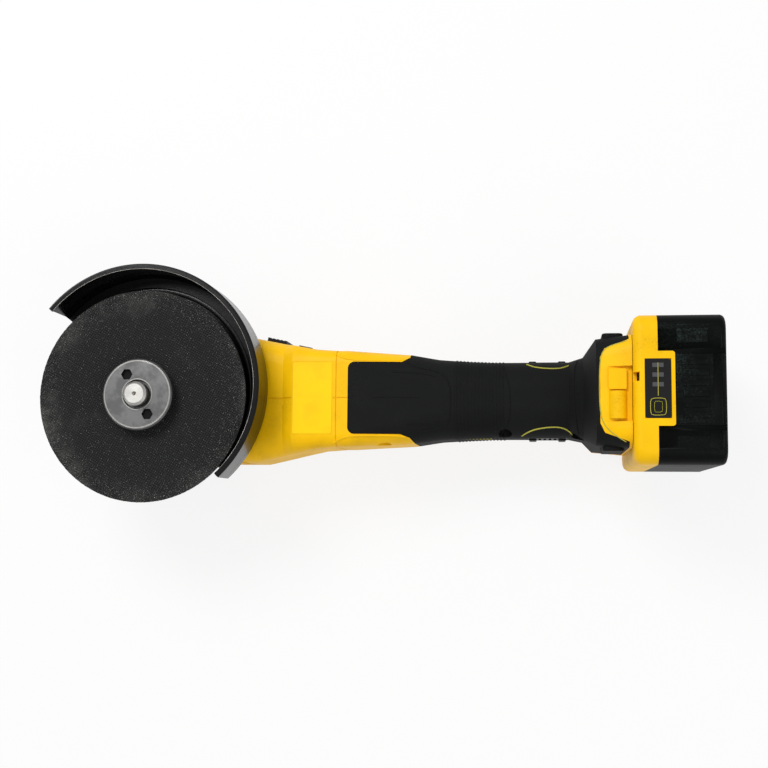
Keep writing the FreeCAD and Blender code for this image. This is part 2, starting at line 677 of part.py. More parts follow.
def backing_flange():
    pilot = DISC_BORE_R - RUN
    bore = THREAD_CORE_R + SEAT
    z0 = FLANGE_Z0
    return turned([
        (bore, z0), (13.0, z0), (FLANGE_R, z0 + 4.5), (FLANGE_R, DISC_Z0), (FLANGE_R - 4, DISC_Z0),
        (FLANGE_R - 4, DISC_Z0 - 0.6), (pilot, DISC_Z0 - 0.6), (pilot, DISC_Z1 - 0.5), (bore, DISC_Z1 - 0.5)])


def grinding_disc():
    return cyl_z(DISC_R, DISC_Z0, DISC_Z1).cut(cyl_z(DISC_BORE_R, DISC_Z0 - 1, DISC_Z1 + 1))


def clamp_nut():
    bore = THREAD_CORE_R + SEAT
    flange_z = DISC_Z1 + NUT_NECK_H
    body = turned([
        (bore, DISC_Z1), (NUT_NECK_R, DISC_Z1), (NUT_NECK_R, flange_z), (NUT_R, flange_z),
        (NUT_R, NUT_TOP_Z - 0.8), (NUT_R - 0.8, NUT_TOP_Z), (NUT_BORE_R + 0.6, NUT_TOP_Z),
        (NUT_BORE_R, NUT_TOP_Z - 0.6), (NUT_BORE_R, NUT_TOP_Z - 2.5), (bore, NUT_TOP_Z - 2.5)])
    cuts = []
    for side in (1, -1):
        a = math.radians(PIN_HOLE_ANGLE)
        reach = side * PIN_HOLE_PITCH / 2
        cuts.append(hex_prism(PIN_HOLE_AF, NUT_TOP_Z - 3.6, NUT_TOP_Z + 1, reach * math.cos(a), reach * math.sin(a)))
    cuts.append(box(-NUT_BORE_R - 1.2, 0, -1.2, 1.2, NUT_TOP_Z - 2.4, NUT_TOP_Z + 1))
    return less(body, cuts)


# ---- guard ------------------------------------------------------------------
def sector(r, z0, z1, a0, a1):
    """Pie slice about the skirt centre."""
    steps = 12
    points = [(0.0, GUARD_SHIFT_Y)]
    for i in range(steps + 1):
        a = math.radians(a0 + (a1 - a0) * i / steps)
        points.append((r * math.cos(a), GUARD_SHIFT_Y + r * math.sin(a)))
    return prism(points, z0, z1)


def guard_shell():
    """Back plate, skirt and in-turned lip over half of the disc."""
    centre = V(0, GUARD_SHIFT_Y, 0)
    inner = GUARD_R - GUARD_T
    z0 = GUARD_Z0
    top = GUARD_TOP_Z
    bend = 3.0
    profile = [
        (0, z0), (GUARD_R - bend, z0), (GUARD_R, z0 + bend), (GUARD_R, top - 1.0), (GUARD_R - 1.0, top),
        (GUARD_R - GUARD_LIP, top), (GUARD_R - GUARD_LIP, top - 1.6), (inner, top - 1.6),
        (inner, z0 + bend + 0.8), (inner - bend + 0.8, z0 + GUARD_T), (0, z0 + GUARD_T)]
    shell = turned(profile, Z_DIR, centre)
    shell = shell.common(sector(2 * GUARD_R, z0 - 1, top + 1, GUARD_A0, GUARD_A1))
    hub = cyl_z(COLLAR_R + 9.0, z0, z0 + GUARD_T)
    step = cyl_z(COLLAR_R + 12.0, z0, z0 + GUARD_T + 1.0).common(sector(GUARD_R, z0, z0 + 9, GUARD_A0, GUARD_A1))
    shell = joined([shell, hub, step])
    return shell.cut(cyl_z(COLLAR_R + COLLAR_T - 0.4, z0 - 1, top))


def guard_collar():
    """Ring under the plate that turns on the neck, with its lugs and detent notches."""
    z0 = GUARD_Z0 - COLLAR_H
    outer = COLLAR_R + COLLAR_T
    ring = cyl_z(outer, z0, GUARD_Z0).cut(cyl_z(COLLAR_R, z0 - 1, GUARD_Z0 + 1))
    rim = cyl_z(outer - 0.4 - SEAT, GUARD_Z0 - 0.5, GUARD_Z0 + GUARD_T).cut(cyl_z(COLLAR_R, z0, NECK_TOP_Z + 1))
    lug_r = NECK_R - GROOVE_DEPTH + GAP
    lug_zone = box(0, COLLAR_R + 0.5, -3.0, 3.0, GROOVE_Z0 + GAP, GROOVE_Z1 - GAP)
    lug = lug_zone.cut(cyl_z(lug_r, z0, NECK_TOP_Z))
    lugs = [spun(lug, angle) for angle in (20.0, 140.0, 260.0)]
    collar = joined([ring, rim] + lugs)
    notch = box(COLLAR_R + 0.8, outer + 1, -1.6, 1.6, z0 - 1, z0 + 3.2)
    count = int(360 / NOTCH_STEP)
    return less(collar, [spun(notch, LEVER_NOSE_ANGLE + i * NOTCH_STEP) for i in range(count)])


def guard_lever():
    """Sprung lever whose nose drops into the collar's notches."""
    z0 = RETAINER_TOP_Z + GAP
    z1 = z0 + LEVER_T
    clear_r = COLLAR_R + COLLAR_T + GAP
    a = math.radians(LEVER_NOSE_ANGLE - LEVER_ANGLE)
    nose = (clear_r * math.cos(a), clear_r * math.sin(a))
    arm = [(LEVER_R - 3.2, -2.0), (LEVER_R + 3.2, -2.0), (LEVER_R + 2.6, 5.0), (nose[0] + 3.2, nose[1] + 1.0),
           (nose[0] + 0.4, nose[1] + 1.4), (nose[0] + 0.4, nose[1] - 1.2), (LEVER_R - 1.0, 3.4)]
    tail = [(LEVER_R - 3.2, -2.0), (LEVER_R + 3.2, -2.0), (LEVER_R + 11.0, -13.0), (LEVER_R + 9.0, -16.0),
            (LEVER_R + 5.5, -15.5)]
    hub = cyl_z(4.0, z0, z1, x=LEVER_R)
    lever = joined([prism(arm, z0, z1), prism(tail, z0, z1), hub])
    lever = lever.cut(cyl_z(LEVER_PIVOT_R + RUN, z0 - 1, z1 + 1, x=LEVER_R))
    lever = lever.cut(cyl_z(clear_r, z0 - 1, z1 + 1))
    return spun(lever, LEVER_ANGLE)


def guard_lever_screw():
    """Shoulder screw on which the lever turns."""
    z1 = RETAINER_TOP_Z + LEVER_T + 2 * GAP
    x, y = lever_pivot_xy()
    shank = cyl_z(LEVER_PIVOT_R, CASE_TOP_Z + SEAT, z1, x, y)
    head = cyl_z(3.6, z1, z1 + 1.6, x, y)
    return joined([shank, head]).cut(hex_prism(2.2, z1 + 0.6, z1 + 3, x, y))


# ---- spindle lock -----------------------------------------------------------
def lock_button():
    z0 = LOCK_REST_Z
    button = cyl_z(LOCK_BUTTON_R, z0, z0 + 4.0, x=LOCK_X)
    button = button.makeFillet(0.8, [e for e in button.Edges if abs(e.BoundBox.ZMax - z0) < 0.01])
    return button.cut(cyl_z(LOCK_PIN_R + SEAT, z0 + 1.5, z0 + 9, x=LOCK_X))


def lock_pin():
    return cyl_z(LOCK_PIN_R, LOCK_REST_Z + 1.5, LOCK_REACH_Z, x=LOCK_X)


def lock_spring():
    z0 = LOCK_REST_Z + 4.0
    return moved(coil_spring(2.7, 0.35, 14.0 - z0, 5), x=LOCK_X, z=z0)


# ---- housing shells ---------------------------------------------------------
def seam_bosses(outer):
    """Solid posts across the seam for the shell screws."""
    posts = [cyl_y(SEAM_BOSS_R, -60, 60, x, z) for x, z in SEAM_SCREWS]
    return [post.common(outer) for post in posts]


def rib(inner, x0, x1, windows=()):
    """Cross wall that fills the hollow between two stations."""
    wall = inner.common(box(x0, x1, -60, 60, 0, 120))
    return less(wall, windows) if windows else wall


def rod_window():
    """Passage for the switch rod through the cross walls, in the slide's own frame."""
    grow = GAP + 0.3
    bar = slide_box(-4, ROD_END + 2, ROD_V0 - grow, ROD_V1 + grow, ROD_Z0 - grow, ROD_Z1 + grow)
    hook = slide_box(-4, 19, ROD_V0 - grow, ROD_V1 + grow, SLIDE_Z1 - 8 - grow, ROD_Z1 + grow)
    return bar.fuse(hook)


def housing_ribs(inner):
    air = [cyl_x(5.5, STATOR_X0 - 9, REAR_BEARING_X + 20, sy * 21.0, 15.5) for sy in (1, -1)]
    air.append(cyl_x(4.0, STATOR_X0 - 9, REAR_BEARING_X + 20, -20.0, 58.0))
    window = rod_window()
    bore = cyl_x(STATOR_R + SEAT, STATOR_X0 - 9, REAR_BEARING_X - 1)
    ribs = []
    for x0 in (STATOR_X0 + 3.0, STATOR_X1 - 7.0):
        ribs.append(rib(inner, x0, x0 + 4.0, [bore, window] + air))
    seat = cyl_x(REAR_BEARING[1] + SEAT, REAR_BEARING_X, REAR_BEARING_X + REAR_BEARING[2])
    through = cyl_x(SHAFT_R + 1.5, REAR_BEARING_X - 3, REAR_BEARING_X + 20)
    leads = [cyl_x(1.9, REAR_BEARING_X - 3, REAR_BEARING_X + 20, y, PHASE_Z) for y in PHASE_YS]
    ribs.append(rib(inner, REAR_BEARING_X - 0.0, REAR_BEARING_X + REAR_BEARING[2] + 1.5,
                    [seat, through, window] + air + leads))
    cradle = round_box(MODULE_X0 - 1, MODULE_X1 + 1, -MODULE_HALF_W - SEAT, MODULE_HALF_W + SEAT,
                       MODULE_Z0 - SEAT, MODULE_Z1 + SEAT, 1.0, X_DIR)
    tunnel = cyl_x(10.0, MODULE_X0, MODULE_X1 + 5, 0.0, MODULE_Z0 - 4.0)
    for x0 in (MODULE_X0 + 6.0, MODULE_X1 - 10.0):
        ribs.append(rib(inner, x0, x0 + 3.0, [cradle, tunnel]))
    return ribs


def flange_bosses(outer):
    posts = [cyl_x(SEAM_BOSS_R + 0.5, CASE_END_X, BAFFLE_X0 - 1.0, y, z) for y, z in flange_screw_spots()]
    corners = [box(CASE_END_X, BAFFLE_X0 - 1.0, min(y, y * 1.4), max(y, y * 1.4), z - 4, z + 4)
               for y, z in flange_screw_spots()]
    return [post.common(outer) for post in posts + corners]


def exhaust_slots():
    slots = []
    for i in range(5):
        z = AXIS_Z - 16.0 + 8.0 * i
        slots.append(box(CASE_END_X + 4, BAFFLE_X0 - 2, -60, -30, z - 1.8, z + 1.8))
        slots.append(box(CASE_END_X + 4, BAFFLE_X0 - 2, 30, 60, z - 1.8, z + 1.8))
    return slots


def battery_channel():
    """Room in the foot for the pack's tongue, open at its lower end."""
    deep = box(TONGUE_X0 - GAP, TONGUE_NECK_X0 + GAP, -TONGUE_HALF_W - GAP, TONGUE_HALF_W + GAP,
               -1, TONGUE_Z1 + GAP)
    neck = box(TONGUE_NECK_X0, DECK_X + 1, -TONGUE_NECK_HALF_W - GAP, TONGUE_NECK_HALF_W + GAP,
               -1, TONGUE_Z1 + GAP)
    catch = box(TONGUE_X0 - TOOTH_REACH - GAP, TONGUE_X0, -TOOTH_HALF_W - GAP, TOOTH_HALF_W + GAP,
                -1, TOOTH_Z1 + GAP)
    block = box(TONGUE_X0 - GAP, DECK_X + 1, -TERMINAL_HALF_W - SEAT, TERMINAL_HALF_W + SEAT,
                TONGUE_Z1 - 1, TONGUE_Z1 + GAP + TERMINAL_H + SEAT)
    return [deep, neck, catch, block]


def cover_region():
    """Plan and side limits of the soft cover."""
    w = WINDOW_HALF_W
    window = round_box(WINDOW_X0, COVER_X0 + 12, -w, w, AXIS_Z + 8, 120, WINDOW_ROUND)
    wrap = prism([(COVER_X0 - 5.0, w), (COVER_X0 - 0.5, w + 3.0), (COVER_X0 - 3.0, 60), (DECK_X - 1.5, 60),
                  (DECK_X - 1.5, -60), (COVER_X0 + 2.5, -60), (COVER_X0 + 2.0, -w - 5.0),
                  (COVER_X0 - 0.5, -w - 2.0), (COVER_X0 - 6.0, -w)], COVER_LOW_Z, 120)
    bare_top = prism([(FOOT_X0 + 2.0, -18), (FOOT_X0 + 4.5, -23), (DECK_X - 5.0, -26.5), (DECK_X, -28.5),
                      (DECK_X, 28.5), (DECK_X - 5.0, 26.5), (FOOT_X0 + 4.5, 23), (FOOT_X0 + 2.0, 18)],
                     FOOT_TOP_Z - 25, FOOT_TOP_Z + 5)
    return window.fuse(wrap.cut(bare_top))


def surface_lines():
    """Seam line on the flat top and the panel line round the housing."""
    core = body_loft(LINE_DEPTH, LINE_DEPTH)
    half = GROOVE_W / 2
    seam = [box(SLOPE_X0, LABEL_X0 - 0.6, -half, half, AXIS_Z, MOTOR_TOP_Z + 1),
            box(LABEL_X1 + 0.6, WINDOW_X0 - 0.3, -half, half, AXIS_Z, MOTOR_TOP_Z + 1)]
    panel = box(PANEL_X - half, PANEL_X + half, -60, 60, 0, MOTOR_TOP_Z + 1)
    return [line.cut(core) for line in seam + [panel]]


def vent_pocket(side):
    """Opening for a removable intake grille in the side of the grip."""
    y0 = HANDLE_HALF_W - RUBBER
    pocket = round_box(VENT_X0, VENT_X1, y0, y0 + 12, VENT_Z0, VENT_Z1, 3.0, Y_DIR)
    return pocket if side > 0 else mirrored_y(pocket)


def intake_slots(side, x0, x1, z0, z1, count):
    pitch = (x1 - x0) / count
    slots = []
    for i in range(count):
        x = x0 + pitch * (i + 0.25)
        slot = box(x, x + pitch * 0.5, 12, 60, z0, z1)
        slots.append(slot if side > 0 else mirrored_y(slot))
    return slots


def housing_parts():
    """Both shells and both soft covers, cut from one body."""
    outer = body_loft(0.0, 0.0)
    under = body_loft(RUBBER, RUBBER)
    inner = body_loft(WALL, RUBBER + SKIN_WALL, CASE_END_X, CREASE_X)
    region = cover_region()
    cover = outer.cut(under).common(region)
    pockets = [vent_pocket(1), vent_pocket(-1)]
    cover = less(cover, pockets)
    bed = body_loft(RUBBER + SEAT, RUBBER + SEAT)
    shell = outer.cut(inner).cut(outer.cut(bed).common(region))
    shell = joined([shell] + seam_bosses(under) + flange_bosses(outer) + housing_ribs(inner))
    cuts = battery_channel() + pockets + exhaust_slots() + [switch_pocket(), switch_slot()]
    cuts.append(box(LABEL_X0, LABEL_X1, -LABEL_HALF_W, LABEL_HALF_W, MOTOR_TOP_Z - LABEL_T, MOTOR_TOP_Z + 1))
    for side in (1, -1):
        cuts += intake_slots(side, VENT_X0 + 3, VENT_X1 - 3, VENT_Z0 + 4, VENT_Z1 - 4, 5)
    for y, z in flange_screw_spots():
        cuts.append(cyl_x(CASE_SCREW_R + SEAT, CASE_END_X - 1, BAFFLE_X0 - 4, y, z))
    cuts += lead_passages() + [strap_pocket()]
    cuts += seam_screw_holes()
    cuts += surface_lines()
    shell = joined([less(shell, cuts), strap_bar()])
    cover = less(cover, seam_screw_holes())
    left = box(0, 400, 0, 80, -10, 150)
    right = mirrored_y(left)
    return shell.common(left), shell.common(right), cover.common(left), cover.common(right)


def lead_passages():
    """Ducts for the battery leads from the grip up to the terminal block."""
    ducts = []
    for y in LEAD_YS:
        y0 = y - DUCT_HALF
        y1 = y + DUCT_HALF
        ducts.append(box(CREASE_X - 1, DUCT_X, y0, y1, DUCT_Z - DUCT_HALF, DUCT_Z + DUCT_HALF))
        ducts.append(box(DUCT_X - DUCT_HALF, DUCT_X + DUCT_HALF, y0, y1, DUCT_Z - DUCT_HALF, LEAD_END_Z + DUCT_HALF))
        ducts.append(box(DUCT_X, TONGUE_X0 + 1, y0, y1, LEAD_END_Z - DUCT_HALF, LEAD_END_Z + DUCT_HALF))
    return ducts


def strap_pocket():
    """Recess in the top of the foot round the strap bar."""
    return round_box(FOOT_X0 + 4.0, DECK_X + 1, -17.0, 13.0, FOOT_TOP_Z - 3.5, FOOT_TOP_Z + 1, 1.0)


def strap_bar():
    """Bored half-round bar for a wrist strap, with the solid block beside it."""
    x = FOOT_X0 + STRAP_BAR_X
    z = FOOT_TOP_Z - 3.5
    bar = cyl_y(STRAP_BAR_R, -15.5, -0.5, x, z - 1.5).common(box(0, 400, -60, 60, z - 0.8, FOOT_TOP_Z + 1))
    bar = bar.cut(cyl_y(1.5, -16.0, -6.0, x, z + 1.2))
    block = round_box(FOOT_X0 + 6.5, DECK_X - 3.0, 0.4, 11.6, z - 0.8, FOOT_TOP_Z - 1.4, 0.8)
    return joined([bar, block])


def seam_screw_holes():
    holes = []
    for x, z in SEAM_SCREWS:
        holes.append(cyl_y(SEAM_SCREW_R + 0.2, -14.0, 0.0, x, z))
        holes.append(cyl_y(SEAM_SCREW_R + SEAT, 0.0, 10.0, x, z))
        holes.append(cyl_y(SEAM_HEAD_R + 0.5, -60, -12.0, x, z))
    return holes


def housing_screws():
    one = screw(SEAM_SCREW_R, 21.0, SEAM_HEAD_R, 2.6)
    one.rotate(V(0, 0, 0), X_DIR, 90)
    return group([moved(one, x, -12.0, z) for x, z in SEAM_SCREWS])


def vent_cover(side):
    """Removable grille with upright bars."""
    y0 = HANDLE_HALF_W - RUBBER
    plate = round_box(VENT_X0 + 0.1, VENT_X1 - 0.1, y0, y0 + VENT_T, VENT_Z0 + 0.1, VENT_Z1 - 0.1, 2.9, Y_DIR)
    ears = [round_box(x, x + 4.5, y0 + VENT_T - 0.5, y0 + VENT_T + 1.2, VENT_Z0 + 5, VENT_Z1 - 5, 0.8, Z_DIR)
            for x in (VENT_X0 + 0.6, VENT_X1 - 5.1)]
    plate = joined([plate] + ears)
    if side < 0:
        plate = mirrored_y(plate)
    return less(plate, intake_slots(side, VENT_X0 + 5.5, VENT_X1 - 5.5, VENT_Z0 + 4, VENT_Z1 - 4, 4))


def rating_label():
    return round_box(LABEL_X0 + 0.1, LABEL_X1 - 0.1, -LABEL_HALF_W + 0.1, LABEL_HALF_W - 0.1,
                     MOTOR_TOP_Z - LABEL_T, MOTOR_TOP_Z, 1.0)


def foot_bumper(side):
    """Soft pad on the side of the foot that the tool is set down on."""
    y = FOOT_HALF_W - 3.0
    face = FOOT_HALF_W + BUMPER_PROUD
    pad = round_box(FOOT_X0 + 3.5, DECK_X - 4, y, face, BUMPER_Z0, BUMPER_Z1, 3.0, Y_DIR)
    pad = pad.makeFillet(0.8, [e for e in pad.Edges if e.BoundBox.YMin > face - 0.1])
    pad = pad.cut(body_loft(0.0, 0.0))
    return pad if side > 0 else mirrored_y(pad)


# ---- motor ------------------------------------------------------------------
def motor_shaft():
    front_end = FRONT_BEARING_X + FRONT_BEARING[2]
    rear_end = REAR_BEARING_X + REAR_BEARING[2]
    return about_x([
        (0, 13.0), (PINION_SEAT_R - 0.4, 13.0), (PINION_SEAT_R, 13.4), (PINION_SEAT_R, FRONT_BEARING_X),
        (FRONT_BEARING[0] - SEAT, FRONT_BEARING_X), (FRONT_BEARING[0] - SEAT, front_end), (SHAFT_R, front_end),
        (SHAFT_R, REAR_BEARING_X), (REAR_BEARING[0] - SEAT, REAR_BEARING_X), (REAR_BEARING[0] - SEAT, rear_end), (0, rear_end)])


def rotor_core():
    core = cyl_x(ROTOR_R, STATOR_X0, STATOR_X1)
    return core.cut(cyl_x(SHAFT_R + SEAT, STATOR_X0 - 1, STATOR_X1 + 1))


def rotor_magnets():
    ring = cyl_x(ROTOR_R + MAGNET_T, STATOR_X0 + 1, STATOR_X1 - 1).cut(cyl_x(ROTOR_R + SEAT, STATOR_X0, STATOR_X1))
    size = ROTOR_R + MAGNET_T + 2
    gaps = [box(STATOR_X0, STATOR_X1, -1.0, 1.0, AXIS_Z - size, AXIS_Z + size),
            box(STATOR_X0, STATOR_X1, -size, size, AXIS_Z - 1.0, AXIS_Z + 1.0)]
    return group([less(ring, gaps)])


def stator_core():
    """Stack with inward teeth that end in pole shoes."""
    ring = cyl_x(STATOR_R, STATOR_X0, STATOR_X1).cut(cyl_x(STATOR_R - 4, STATOR_X0 - 1, STATOR_X1 + 1))
    tooth = box(STATOR_X0, STATOR_X1, -3.0, 3.0, AXIS_Z + STATOR_BORE_R, AXIS_Z + STATOR_R - 2)
    shoe = box(STATOR_X0, STATOR_X1, -6.0, 6.0, AXIS_Z + 10, AXIS_Z + STATOR_BORE_R + 1.5)
    pieces = [ring]
    for i in range(STATOR_TEETH):
        angle = 360.0 / STATOR_TEETH * (i + 0.5)
        pieces.append(spun(tooth, angle, X_DIR, V(0, 0, AXIS_Z)))
        pieces.append(spun(shoe, angle, X_DIR, V(0, 0, AXIS_Z)))
    return joined(pieces).cut(cyl_x(STATOR_BORE_R, STATOR_X0 - 1, STATOR_X1 + 1))


def stator_windings():
    """One copper coil round each tooth."""
    z0 = AXIS_Z + STATOR_BORE_R + 1.6
    z1 = AXIS_Z + STATOR_R - 5.4
    coil = round_box(STATOR_X0 - 4, STATOR_X1 + 4, -6.2, 6.2, z0, z1, 3.0)
    coil = coil.cut(box(STATOR_X0 - 0.1, STATOR_X1 + 0.1, -3.1, 3.1, z0 - 1, z1 + 1))
    wedge = Part.makePolygon([V(0, 0, AXIS_Z), V(0, -40 * math.tan(math.radians(29)), AXIS_Z + 40),
                              V(0, 40 * math.tan(math.radians(29)), AXIS_Z + 40), V(0, 0, AXIS_Z)])
    slot = moved(Part.Face(wedge).extrude(V(150, 0, 0)), x=0)
    coil = coil.common(slot)
    step = 360.0 / STATOR_TEETH
    return group([spun(coil, step * (i + 0.5), X_DIR, V(0, 0, AXIS_Z)) for i in range(STATOR_TEETH)])


def cooling_fan():
    plate = about_x([(SHAFT_R + SEAT, FAN_X0), (FAN_R, FAN_X0), (FAN_R, FAN_X0 + 1.6), (9.0, FAN_X0 + 1.6),
                     (9.0, FAN_X1), (SHAFT_R + SEAT, FAN_X1)])
    blade = box(FAN_X0 + 1, FAN_X1 - 1, -0.8, 0.8, AXIS_Z + 8.5, AXIS_Z + FAN_R)
    blade = spun(blade, 18, X_DIR, V(0, 0, AXIS_Z + 9))
    blade = blade.common(cyl_x(FAN_R, FAN_X0, FAN_X1))
    blades = [spun(blade, 360.0 * i / FAN_BLADES, X_DIR, V(0, 0, AXIS_Z)) for i in range(FAN_BLADES)]
    return joined([plate] + blades)


def fan_baffle():
    """Wall that leads the air into the fan's eye."""
    hollow = body_loft(WALL + SEAT, WALL, CASE_END_X, SLOPE_X0)
    wall = hollow.common(box(BAFFLE_X0, BAFFLE_X0 + BAFFLE_T, -60, 60, 0, 90))
    return wall.cut(cyl_x(BAFFLE_HOLE_R, BAFFLE_X0 - 1, BAFFLE_X0 + BAFFLE_T + 1))


# ---- switch -----------------------------------------------------------------
def slide_box(u0, u1, v0, v1, z0, z1):
    """Box in the slide's frame: u runs rearwards along the side, v stands off it."""
    block = box(u0, u1, v0, v1, z0, z1)
    block.rotate(V(0, 0, 0), Z_DIR, -math.degrees(SIDE_SLOPE))
    return moved(block, x=SLIDE_X, y=slope_half_w(SLIDE_X))


def switch_pocket():
    return slide_box(-SLIDE_TRAVEL - GAP, SLIDE_LEN + GAP, -SLIDE_POCKET, 5, SLIDE_Z0 - GAP, SLIDE_Z1 + GAP)


def switch_slot():
    return slide_box(6.0 - SLIDE_TRAVEL - GAP, 16.0 + GAP, -8, 1, SLIDE_Z1 - 6.0 - GAP, SLIDE_Z1 + GAP)


def slide_button():
    """Thumb slide with a raised pad in front, a thin waist and a rear bump."""
    foot_v = GAP - SLIDE_POCKET
    plate = slide_box(0, SLIDE_LEN, foot_v, 0.6, SLIDE_Z0, SLIDE_Z1)
    pad = slide_box(0, 12.0, 0.4, SLIDE_PROUD, SLIDE_Z0, SLIDE_Z1)
    bump = slide_box(SLIDE_LEN - 8.0, SLIDE_LEN, 0.4, 1.6, SLIDE_Z0, SLIDE_Z1)
    stem = slide_box(6.0, 16.0, ROD_V1 - 0.5, foot_v + 0.2, SLIDE_Z1 - 6.0, SLIDE_Z1)
    ridges = [slide_box(2.0 + 2.4 * i, 3.0 + 2.4 * i, SLIDE_PROUD - 0.5, SLIDE_PROUD + 1, SLIDE_Z0, SLIDE_Z1)
              for i in range(4)]
    return less(joined([plate, pad, bump, stem]), ridges)


def switch_rod():
    """Bar from the slide to the switch, with a finger behind the plunger."""
    bar = slide_box(4.0, ROD_END, ROD_V0, ROD_V1, ROD_Z0, ROD_Z1)
    hook = slide_box(4.0, 18.0, ROD_V0, ROD_V1, SLIDE_Z1 - 8.0, ROD_Z1)
    finger = slide_box(ROD_END - 3.0, ROD_END, ROD_V0, ROD_V1, SWITCH_TOP_Z + 1.0, ROD_Z1)
    rod = joined([bar, hook, finger])
    return rod.cut(slide_box(6.0 - SEAT, 16.0 + SEAT, ROD_V1 - 0.6, ROD_V1 + 1, SLIDE_Z1 - 6.5, SLIDE_Z1 + SEAT))


def switch_unit():
    """Sealed micro switch with its plunger, seated on the rear motor wall."""
    x0 = REAR_BEARING_X + REAR_BEARING[2] + 1.5 + GAP
    body = round_box(x0, x0 + 22, 3.5, 18.5, SWITCH_Z0, SWITCH_TOP_Z, 1.0)
    lever = box(x0 + 0.2, x0 + 2.2, 13.5, 17.5, SWITCH_TOP_Z - 0.5, SWITCH_TOP_Z + 4.0)
    return joined([body, lever])


# ---- electronics ------------------------------------------------------------
def control_module():
    """Potted motor controller with cooling fins."""
    block = round_box(MODULE_X0, MODULE_X1, -MODULE_HALF_W, MODULE_HALF_W, MODULE_Z0, MODULE_Z1, 1.0, X_DIR)
    fins = [box(MODULE_X0 + 14 + 5 * i, MODULE_X0 + 16.5 + 5 * i, -MODULE_HALF_W + 2, MODULE_HALF_W - 2,
                MODULE_Z1 - 5, MODULE_Z1 + 1) for i in range(7)]
    return less(block, fins)


def terminal_block():
    z0 = TONGUE_Z1 + GAP
    return round_box(TONGUE_X0, DECK_X - 1, -TERMINAL_HALF_W, TERMINAL_HALF_W, z0, z0 + TERMINAL_H, 1.0)


def terminal_blades():
    z1 = TONGUE_Z1 + GAP
    return group([box(BLADE_X0, BLADE_X1, y - BLADE_T / 2, y + BLADE_T / 2, z1 - BLADE_LEN, z1) for y in BLADE_YS])


# ---- battery ----------------------------------------------------------------
def pack_block(x0, x1, inset, round_r):
    """Upright block of the pack with all edges along Z rounded, drawn in by an inset."""
    half_w = PACK_HALF_W - inset
    return round_box(x0, x1, -half_w, half_w, inset, PACK_H - inset, round_r, X_DIR)


def pack_tongue():
    deep = box(TONGUE_X0, TONGUE_NECK_X0, -TONGUE_HALF_W, TONGUE_HALF_W, TONGUE_Z0, TONGUE_Z1)
    neck = box(TONGUE_NECK_X0 - 0.1, DECK_X + 2, -TONGUE_NECK_HALF_W, TONGUE_NECK_HALF_W, TONGUE_Z0, TONGUE_Z1)
    return [deep, neck]


def latch_room(margin):
    """Space the release button and its tooth move in."""
    stem = box(TONGUE_X0 - 1, LATCH_X0 + 2, -TOOTH_HALF_W - margin, TOOTH_HALF_W + margin,
               TOOTH_Z0 - margin, TOOTH_Z1 + margin)
    well = box(LATCH_X0 - margin, LATCH_X0 + LATCH_DEPTH + LATCH_TRAVEL + margin,
               -LATCH_HALF_W - margin, LATCH_HALF_W + margin, -1.0, LATCH_TOP_Z + margin)
    return [stem, well]


def pack_screw_spots():
    return [(y, z) for y in (-PACK_BOSS_Y, PACK_BOSS_Y) for z in (PACK_BOSS_END_Z, PACK_H - PACK_BOSS_END_Z)]


def pack_upper_case():
    """Yellow half with the tongue, the gauge bezel and the latch well."""
    x0 = DECK_X + GAP
    block = pack_block(x0, PACK_SPLIT_X, 0.0, PACK_ROUND)
    block = block.makeFillet(4.5, [e for e in block.Edges if e.BoundBox.XMax < x0 + 0.01])
    bezel = round_box(x0 + 4, GAUGE_X1 + 2.0, -GAUGE_HALF_W - 4, GAUGE_HALF_W + 4, BEZEL_Z0, PACK_H, 1.5)
    solid = joined([block, bezel] + pack_tongue())
    hollow = pack_block(x0 + PACK_WALL, PACK_SPLIT_X + 1, PACK_WALL, PACK_ROUND - PACK_WALL)
    hollow = hollow.cut(box(x0, GAUGE_X1 + 4, -GAUGE_HALF_W - 4, GAUGE_HALF_W + 4, BEZEL_Z0, PACK_H + 1))
    hollow = hollow.cut(box(x0, PACK_SPLIT_X + 2, -LATCH_HALF_W - 3, LATCH_HALF_W + 3, 0, LATCH_ROOF_Z))
    cuts = [hollow] + latch_room(GAP) + blade_slots()
    cuts.append(box(GAUGE_X0, GAUGE_X1, -GAUGE_HALF_W, GAUGE_HALF_W, PACK_H - GAUGE_T, PACK_H + 1))
    cuts.append(gauge_well(GAP, GAUGE_WELL_Z))
    cuts.append(box(x0 - 1, x0 + 3.2, 4.0, 9.0, FOOT_TOP_Z - 2, PACK_H + 1))
    posts = [cyl_x(PACK_BOSS_R, x0 + 1, PACK_SPLIT_X, y, z) for y, z in pack_screw_spots()]
    pilots = [cyl_x(PACK_SCREW_R + SEAT, x0 + 2, PACK_SPLIT_X + 1, y, z) for y, z in pack_screw_spots()]
    return less(joined([less(solid, cuts)] + posts), pilots)


def blade_slots():
    """Slots in the tongue's end for the tool's blades."""
    room = BLADE_T / 2 + SLOT_ROOM
    return [box(BLADE_X0 - SLOT_ROOM, BLADE_X1 + SLOT_ROOM, y - room, y + room, TONGUE_Z1 - 16.0, TONGUE_Z1 + 1)
            for y in BLADE_YS]


def gauge_well(margin, z0):
    half = GAUGE_BUTTON / 2 + margin
    x = (GAUGE_X0 + GAUGE_X1) / 2
    y = GAUGE_BUTTON_Y
    return box(x - half, x + half, y - half, y + half, z0, PACK_H + 1)


